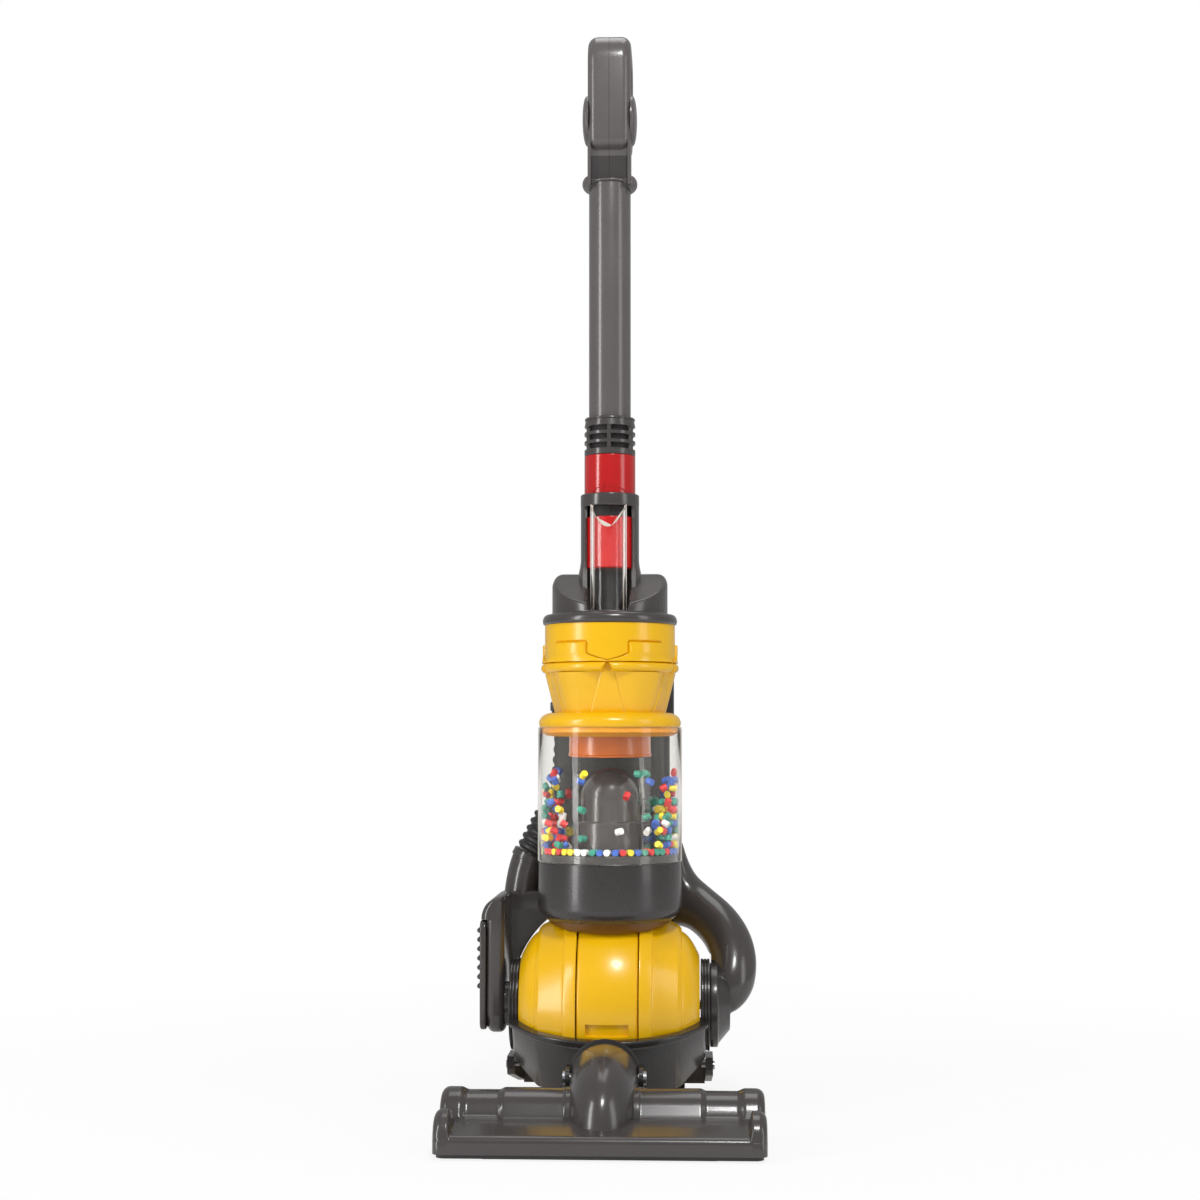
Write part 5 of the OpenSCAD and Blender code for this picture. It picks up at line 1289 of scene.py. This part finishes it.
grip_ring_r = grip_ring_hi.x
grip_ring_z = (grip_ring_lo.z + grip_ring_hi.z)/2
grip_ring_half = (grip_ring_hi.z - grip_ring_lo.z)/2
ring_gap = radians(52)
ring_thin = 0.16
hoop_sections = []
for a in turns(96):
    out = Vector((sin(a), -cos(a), 0))
    from_front = min(a, 2*pi - a)
    full = ring_thin + (1 - ring_thin)*step(ring_gap - 0.3, ring_gap + 0.3, from_front)
    bulge = (grip_ring_r - tube_r - 0.6)*full
    section = [(tube_r + 0.1, 1), (tube_r + 0.1, -1)]
    section += [(tube_r + 0.6 + bulge*cos(t), sin(t)) for t in steps(-pi/2, pi/2, 12)]
    hoop_sections.append([by_bin(out, r, grip_ring_z + grip_ring_half*full*s) for r, s in section])
handle_ring = loft("handle_ring_skin", hoop_sections, closed=True, sharp=50)
dress(handle_ring, wand_grey, "wand", "handle_ring")

caps_lo, caps_hi = span("handle_side_caps")
side_cap_r = (caps_hi.z - caps_lo.z)/2
cap_face = caps_hi.x
cap_seat = handle_half - 0.4
cap_line = [(side_cap_r*cos(t), handle_half + 0.05 + (cap_face - handle_half)*sin(t)**0.7)
            for t in steps(0.0, pi/2, 16)] + [(0, cap_seat), (side_cap_r, cap_seat)]
side_caps = []
for side in (-1, 1):
    dome = [(r, side*x) for r, x in cap_line]
    side_caps.append(lathe(f"side_cap_{side}", dome, (0, *middle("handle_side_caps")[1:]), "X", 72, 50))
dress(joined("handle_side_caps_skin", side_caps, 50), wand_grey, "wand", "handle_side_caps")
coat_nodes(screw_steel, "handle_screws")


# Right duct: a fat swan-neck pipe that leaves the spine's side and drops to the hub cone
# on the axle's end. One smooth grey moulding; the cone is dark and turns with it.
def pipe(name, centres, high, deep, count, round_end=False):
    rings = []
    last = len(centres) - 1
    path = [Vector(p) for p in centres]
    for i, centre in enumerate(path):
        ahead = (path[min(i + 1, last)] - path[max(i - 1, 0)]).normalized()
        across = (Vector((0, 1, 0)) - ahead*ahead.y).normalized()
        up = ahead.cross(across)
        rings.append([centre + up*high[i]*cos(t) + across*deep[i]*sin(t) for t in turns(count)])
    if round_end:
        for t in steps(0.12, pi/2 - 0.05, 10):
            rings.append([path[last] + ahead*high[last]*sin(t) + (p - path[last])*cos(t)
                          for p in rings[last]])
    return loft(name, rings, sharp=50)


def bezier(a, b, c, d, count):
    points = []
    for t in steps(0, 1, count):
        s = 1 - t
        points.append(a*s**3 + b*(3*s*s*t) + c*(3*s*t*t) + d*t**3)
    return points


panel_lo, panel_hi = span("spine_front")
rear_lo, rear_hi = span("spine_rear")
spine_mid_y = (panel_hi.y + rear_hi.y)/2
swan_out = span("right_duct")[1].x
pipe_r = 14.6
root_high = 25
root_deep = 11.6
swan_start = Vector((36, spine_mid_y, axle_centre.z + 66))
swan_end = Vector((swan_out - pipe_r - 7.6, axle_centre.y, axle_centre.z - 1))
leave_spine = Vector((22, 2, -6))
reach_hub = Vector((25, 6, 41))
root_share = 0.36
nip_share = 0.16
nip_deep = 0.7
swan_steps = 60
swan = bezier(swan_start, swan_start + leave_spine, swan_end + reach_hub, swan_end, swan_steps)
along = [i/swan_steps for i in range(swan_steps + 1)]
ease = [max(1 - t/root_share, 0)**2 for t in along]
nip = [sqrt(1 - nip_deep*max(t - 1 + nip_share, 0)**2/nip_share**2) for t in along]
swan_high = [(pipe_r + (root_high - pipe_r)*e)*n for e, n in zip(ease, nip)]
swan_deep = [(pipe_r + (root_deep - pipe_r)*e)*n for e, n in zip(ease, nip)]
swan_pipe = pipe("right_duct_skin", swan, swan_high, swan_deep, 64, True)
disc_clear = disc_out + 1
disc_reach = axle_centre.z + 31
fillet_in = 45.5
fillet_out = 58
fillet_high = 16
for vertex in swan_pipe.data.vertices:
    if vertex.co.z < disc_reach*MM:
        vertex.co.x = max(vertex.co.x, disc_clear*MM)
    away = max(fillet_out - max(vertex.co.x/MM, fillet_in), 0)/(fillet_out - fillet_in)
    share = min(max((vertex.co.z/MM - swan_start.z)/root_high, 0), 1)
    vertex.co.z += fillet_high*away*away*share*MM
dress(swan_pipe, grey_gloss, "upright", "right_duct")

hub_lo, hub_hi = span("hub_cone")
hub_r = (hub_hi.z - hub_lo.z)/2
hub_end_r = 15.6
hub_bore = 4
hub_face = disc_out + 0.3
hub_profile = rounded([(hub_bore, hub_face), (hub_r, hub_face), (hub_r, hub_lo.x + 4),
                       (hub_r - 2.4, hub_lo.x + 4.6), (hub_end_r, hub_hi.x), (hub_bore, hub_hi.x)],
                      [0, 0.7, 0.9, 0.8, 1.6, 0], 4)
hub_cone = lathe("hub_cone_skin", hub_profile, axle_centre, "X", 96)
dress(hub_cone, dark_gloss, "upright", "hub_cone")


# Left housing: a grey column beside the ball with a rounded foot on the axle, a bridge to
# the spine and a web hollowed to clear the ball. A ribbed cover pulls off its outer face,
# under a rounded shoulder that stands a little proud of it.
house_lo, house_hi = span("left_housing")
cuff_lo, cuff_hi = span("hose_cuff")
hose_r = (cuff_hi.x - cuff_lo.x)/2
hose_y = (cuff_lo.y + cuff_hi.y)/2
web_front = hose_y - hose_r
bridge_back = hose_y + hose_r
housing_in = 66.5
housing_out = -house_lo.x
housing_top = house_hi.z
housing_r = 18
bridge_z = housing_top - 14
column_line = arc((axle_centre.y, axle_centre.z), housing_r, 195, 330, 20)
column_front = axle_centre.y - housing_r + 2
column_line += [(bridge_back, bridge_z), (bridge_back, housing_top - 3), (bridge_back - 3, housing_top),
                (column_front + 3, housing_top), (column_front, housing_top - 3)]
column_bevel = 4.2
column_w = housing_out - housing_in
column = slab("housing_column", [column_line], -(housing_in + housing_out)/2, column_w, column_bevel)
cover_lo, cover_hi = span("side_cover")
shoulder_low = cover_hi.z + 0.6
shoulder_high = housing_top - shoulder_low
shoulder_lip = 3.4
shoulder_in = 13
column_mesh = bmesh.new()
column_mesh.from_mesh(column.data)
for level in [shoulder_low - 0.1] + steps(shoulder_low, housing_top - 0.4, 14):
    everything = column_mesh.verts[:] + column_mesh.edges[:] + column_mesh.faces[:]
    bmesh.ops.bisect_plane(column_mesh, geom=everything, plane_co=(0, 0, level*MM), plane_no=(0, 0, 1))
for vertex in column_mesh.verts:
    rise = (vertex.co.z/MM - shoulder_low + 0.01)/shoulder_high
    if rise >= 0:
        reach = shoulder_lip - shoulder_in*(1 - sqrt(max(1 - rise*rise, 0)))
        share = (-vertex.co.x/MM - housing_in)/column_w
        vertex.co.x -= reach*share*MM
bmesh.ops.dissolve_degenerate(column_mesh, edges=column_mesh.edges, dist=1e-6)
column_mesh.to_mesh(column.data)
column_mesh.free()
bridge_end = -17
bridge = rounded_box("housing_bridge", (-housing_in - 4, web_front, bridge_z),
                     (bridge_end, bridge_back, housing_top), 2.4)
web_r = 66
web_back = web_front + 8
web_out = -housing_in - 2
web_rings = []
for a in steps(radians(10), asin((bridge_z + 2 - axle_centre.z)/web_r), 20):
    x = -web_r*cos(a)
    z = axle_centre.z + web_r*sin(a)
    web_rings.append([(web_out, web_front, z), (x - 1, web_front, z), (x, web_front + 1, z), (x, web_back, z),
                      (web_out, web_back, z)])
web = loft("housing_web", web_rings)
boss_r = 14
boss_in = -housing_in - 1
boss_out = -disc_out - 1
boss_line = [(hub_bore, boss_in), (boss_r, boss_in), (boss_r, boss_out), (hub_bore, boss_out)]
boss = lathe("housing_boss", boss_line, axle_centre, "X", 64)
housing = joined("left_housing_skin", [column, bridge, web, boss], 35)
dress(housing, grey_gloss, "upright", "left_housing")

cover_t = 4
cover_rib = cover_hi.x - cover_t - cover_lo.x
cover_line = box_line(cover_lo.y, cover_lo.z, cover_hi.y, cover_hi.z, 6, 6)
cover_plate = slab("cover_plate", [cover_line], cover_hi.x - cover_t/2, cover_t, 1.2)


def cover_rib_tree():
    tree, given = nodes_tree("cover_ribs", Int=("Count",), Vector=("First", "Pitch"),
                             Float=("Length", "Radius"))
    line = add(tree, "GeometryNodeMeshLine", {
        "Count": given["Count"], "Start Location": given["First"], "Offset": given["Pitch"]})
    rod = add(tree, "GeometryNodeMeshCylinder", {
        "Vertices": 28, "Radius": given["Radius"], "Depth": given["Length"]})
    placed = add(tree, "GeometryNodeInstanceOnPoints", {
        "Points": line, "Instance": rod, "Rotation": (pi/2, 0, 0)})
    finish_tree(tree, placed, given["Material"])
    return tree


rib_count = 7
rib_low = cover_lo.z + 28
rib_high = cover_hi.z - 6
cover_ribs = grow("cover_ribs", cover_rib_tree(), {
    "Count": rib_count, "First": Vector((cover_hi.x - cover_t, (cover_lo.y + cover_hi.y)/2, rib_low))*MM,
    "Pitch": Vector((0, 0, (rib_high - rib_low)/(rib_count - 1)))*MM,
    "Length": (cover_hi.y - cover_lo.y - 0.6)*MM, "Radius": cover_rib*MM, "Material": grey_gloss})
side_cover = joined("side_cover_skin", [cover_plate, cover_ribs], 35)
dress(side_cover, grey_gloss, "side_cover", "side_cover")


# Hose: a dark corrugated hose that leans from a grey elbow on the bridge to the spine's
# upper box, where a short cuff holds it. It is held at both ends and does not swing.
hose_foot = Vector((-53, hose_y, housing_top + 24))
hose_lean = radians(28)
hose_bend = 100
hose_end = 25
hose_bore = 8.6
hose_ribs = 18
hose_depth = 1.8
hose_length = 2*hose_end + hose_bend*hose_lean
lean_way = Vector((sin(hose_lean), 0, cos(hose_lean)))


def hose_at(run):
    if run < hose_end:
        return hose_foot + lean_way*run
    bent = min((run - hose_end)/hose_bend, hose_lean)
    corner_at = hose_foot + lean_way*hose_end
    left = hose_lean - bent
    swing = Vector((cos(left) - cos(hose_lean), 0, sin(hose_lean) - sin(left)))
    return corner_at + swing*hose_bend + Vector((0, 0, max(run - hose_end - hose_bend*hose_lean, 0)))


def hose_tree():
    tree, given = nodes_tree("ribbed_hose", Int=("Ribs",), Float=("Radius", "Bore", "Rib Depth"))
    do = partial(value, tree)
    line = add(tree, "GeometryNodeMeshToCurve", {"Mesh": given["Geometry"]})
    rings = do("ADD", do("MULTIPLY", given["Ribs"], 14.0), 1.0)
    fine = add(tree, "GeometryNodeResampleCurve", {"Curve": line, "Count": rings})
    along = add(tree, "GeometryNodeSplineParameter").outputs["Factor"]
    phase = do("MULTIPLY", do("MULTIPLY", along, given["Ribs"]), 2*pi)
    dip = do("MULTIPLY", do("ADD", do("COSINE", phase), 1.0), 0.5)
    crest = do("POWER", dip, 1.6)
    shrink = do("DIVIDE", do("MULTIPLY", crest, given["Rib Depth"]), given["Radius"])
    outer_ring = add(tree, "GeometryNodeCurvePrimitiveCircle", {"Resolution": 40, "Radius": given["Radius"]})
    inner_ring = add(tree, "GeometryNodeCurvePrimitiveCircle", {"Resolution": 40, "Radius": given["Bore"]})
    outside = add(tree, "GeometryNodeCurveToMesh", {
        "Curve": fine, "Profile Curve": outer_ring, "Scale": do("SUBTRACT", 1.0, shrink)})
    inside = add(tree, "GeometryNodeCurveToMesh", {"Curve": fine, "Profile Curve": inner_ring})
    both = add(tree, "GeometryNodeJoinGeometry")
    tree.links.new(outside.outputs[0], both.inputs[0])
    tree.links.new(inside.outputs[0], both.inputs[0])
    finish_tree(tree, both, given["Material"])
    return tree


hose_black = moulded("hose_plastic", srgb(46, 44, 44), 0.38, 0.25)
hose_steps = 60
hose_path = [hose_at(hose_length*i/hose_steps) for i in range(hose_steps + 1)]
hose = grow("ribbed_hose_skin", hose_tree(), {
    "Ribs": hose_ribs, "Radius": hose_r*MM, "Bore": hose_bore*MM, "Rib Depth": hose_depth*MM,
    "Material": hose_black}, hose_path, [(i, i + 1) for i in range(hose_steps)], 50)
hose_mesh = bmesh.new()
hose_mesh.from_mesh(hose.data)
for end in (hose_path[0], hose_path[-1]):
    rims = [edge for edge in hose_mesh.edges if edge.is_boundary
            and (edge.verts[0].co/MM - end).length < 2*hose_r]
    bmesh.ops.bridge_loops(hose_mesh, edges=rims)
bmesh.ops.recalc_face_normals(hose_mesh, faces=hose_mesh.faces)
hose_mesh.to_mesh(hose.data)
hose_mesh.free()
dress(hose, hose_black, "upright", "ribbed_hose")

knee_run = 10.8
elbow_knee = hose_foot - lean_way*knee_run
elbow_foot = Vector((elbow_knee.x - 2, hose_y, housing_top - 4))
elbow_path = [elbow_foot*(1 - t)**2 + elbow_knee*(2*t*(1 - t)) + hose_foot*t*t for t in steps(0, 0.97, 16)]
elbow_r = [hose_r - 0.02]*15 + [hose_r - 0.2, hose_r - 0.9]
elbow_pipe = pipe("hose_elbow_pipe", elbow_path, elbow_r, elbow_r, 56)
collar_path = [hose_foot - lean_way*t for t in (6.2, 6, 1.4, 1)]
collar_r = [hose_r - 0.3, hose_r + 0.5, hose_r + 0.5, hose_r - 0.3]
elbow_rim = pipe("hose_elbow_rim", collar_path, collar_r, collar_r, 56)
elbow = joined("hose_elbow_skin", [elbow_pipe, elbow_rim], 50)
dress(elbow, grey_gloss, "upright", "hose_elbow")
cuff_axis = Vector(((cuff_lo.x + cuff_hi.x)/2, hose_y, 0))
cuff_line = box_line(hose_bore, cuff_lo.z, hose_r, cuff_hi.z, 0.8, 4)
cuff = lathe("hose_cuff_skin", cuff_line, cuff_axis, "Z", 64)
dress(cuff, dark_gloss, "upright", "hose_cuff")


# Spine: a flat dark panel behind the bin and a grey cover screwed to it, which holds
# three cells behind a door, the circuit board, the speaker and the red power button.
def plate(name, outlines, y0, y1, bevel):
    turned = slab(name + "_turned", outlines, 0, y1 - y0, bevel)
    points = [(v.co.y/MM, (y0 + y1)/2 + v.co.x/MM, v.co.z/MM) for v in turned.data.vertices]
    faces = [tuple(face.vertices) for face in turned.data.polygons]
    bpy.data.objects.remove(turned)
    return mesh_object(name, points, faces, 30)


def round_hole(x, z, r, count=28):
    return [(x + r*cos(t), z + r*sin(t)) for t in turns(count)]


spine_round = 9
panel_line = box_line(panel_lo.x, panel_lo.z, panel_hi.x, panel_hi.z, [2, 2, spine_round, spine_round], 8)
spine_panel = plate("spine_front_skin", [panel_line], panel_lo.y, panel_hi.y, 0.9)
dress(spine_panel, dark_gloss, "upright", "spine_front")

door_lo, door_hi = span("battery_door")
button_x, _, button_z = middle("power_button")
talker_x, _, talker_z = middle("speaker")
box_left = -15.15
box_step = cuff_hi.z
rear_line = rounded([
    (box_left, rear_lo.z), (rear_hi.x, rear_lo.z), (rear_hi.x, rear_hi.z), (rear_lo.x, rear_hi.z),
    (rear_lo.x, box_step), (box_left, box_step)], [4, 4, spine_round, spine_round, 2, 2], 8)
fit = 0.3
button_hole_r = 6.6
door_hole = box_line(door_lo.x - fit, door_lo.z - fit, door_hi.x + fit, door_hi.z + fit, 2, 5)
button_hole = round_hole(button_x, button_z, button_hole_r)
sound_r = 0.9
sound_ring = 6
talker_holes = [round_hole(talker_x, talker_z, sound_r, 16)]
for a in steps(0, 5*pi/3, 5):
    talker_holes.append(round_hole(talker_x + sound_ring*cos(a), talker_z + sound_ring*sin(a), sound_r, 16))
rear_lines = [rear_line, door_hole, button_hole] + talker_holes
rear_shell = plate("spine_rear_skin", rear_lines, rear_lo.y, rear_hi.y, 1.3)
dress(rear_shell, grey_gloss, "upright", "spine_rear")
coat_nodes(dark_gloss, "battery_door")
coat_nodes(screw_steel, "spine_screws")
coat_nodes(can_steel, "battery_contacts")
cell_wrap = moulded("cell_wrap", srgb(60, 92, 84), 0.3, 0.2)
coat_nodes(cell_wrap, "cells_pack")
board_green = moulded("board_laminate", srgb(30, 96, 52), 0.45, 0.3)
coat_nodes(board_green, "circuit_board")
talker_black = moulded("speaker_paper", srgb(36, 34, 34), 0.7, 0.3)
coat_nodes(talker_black, "speaker")
coat_nodes(red_gloss, "power_button")
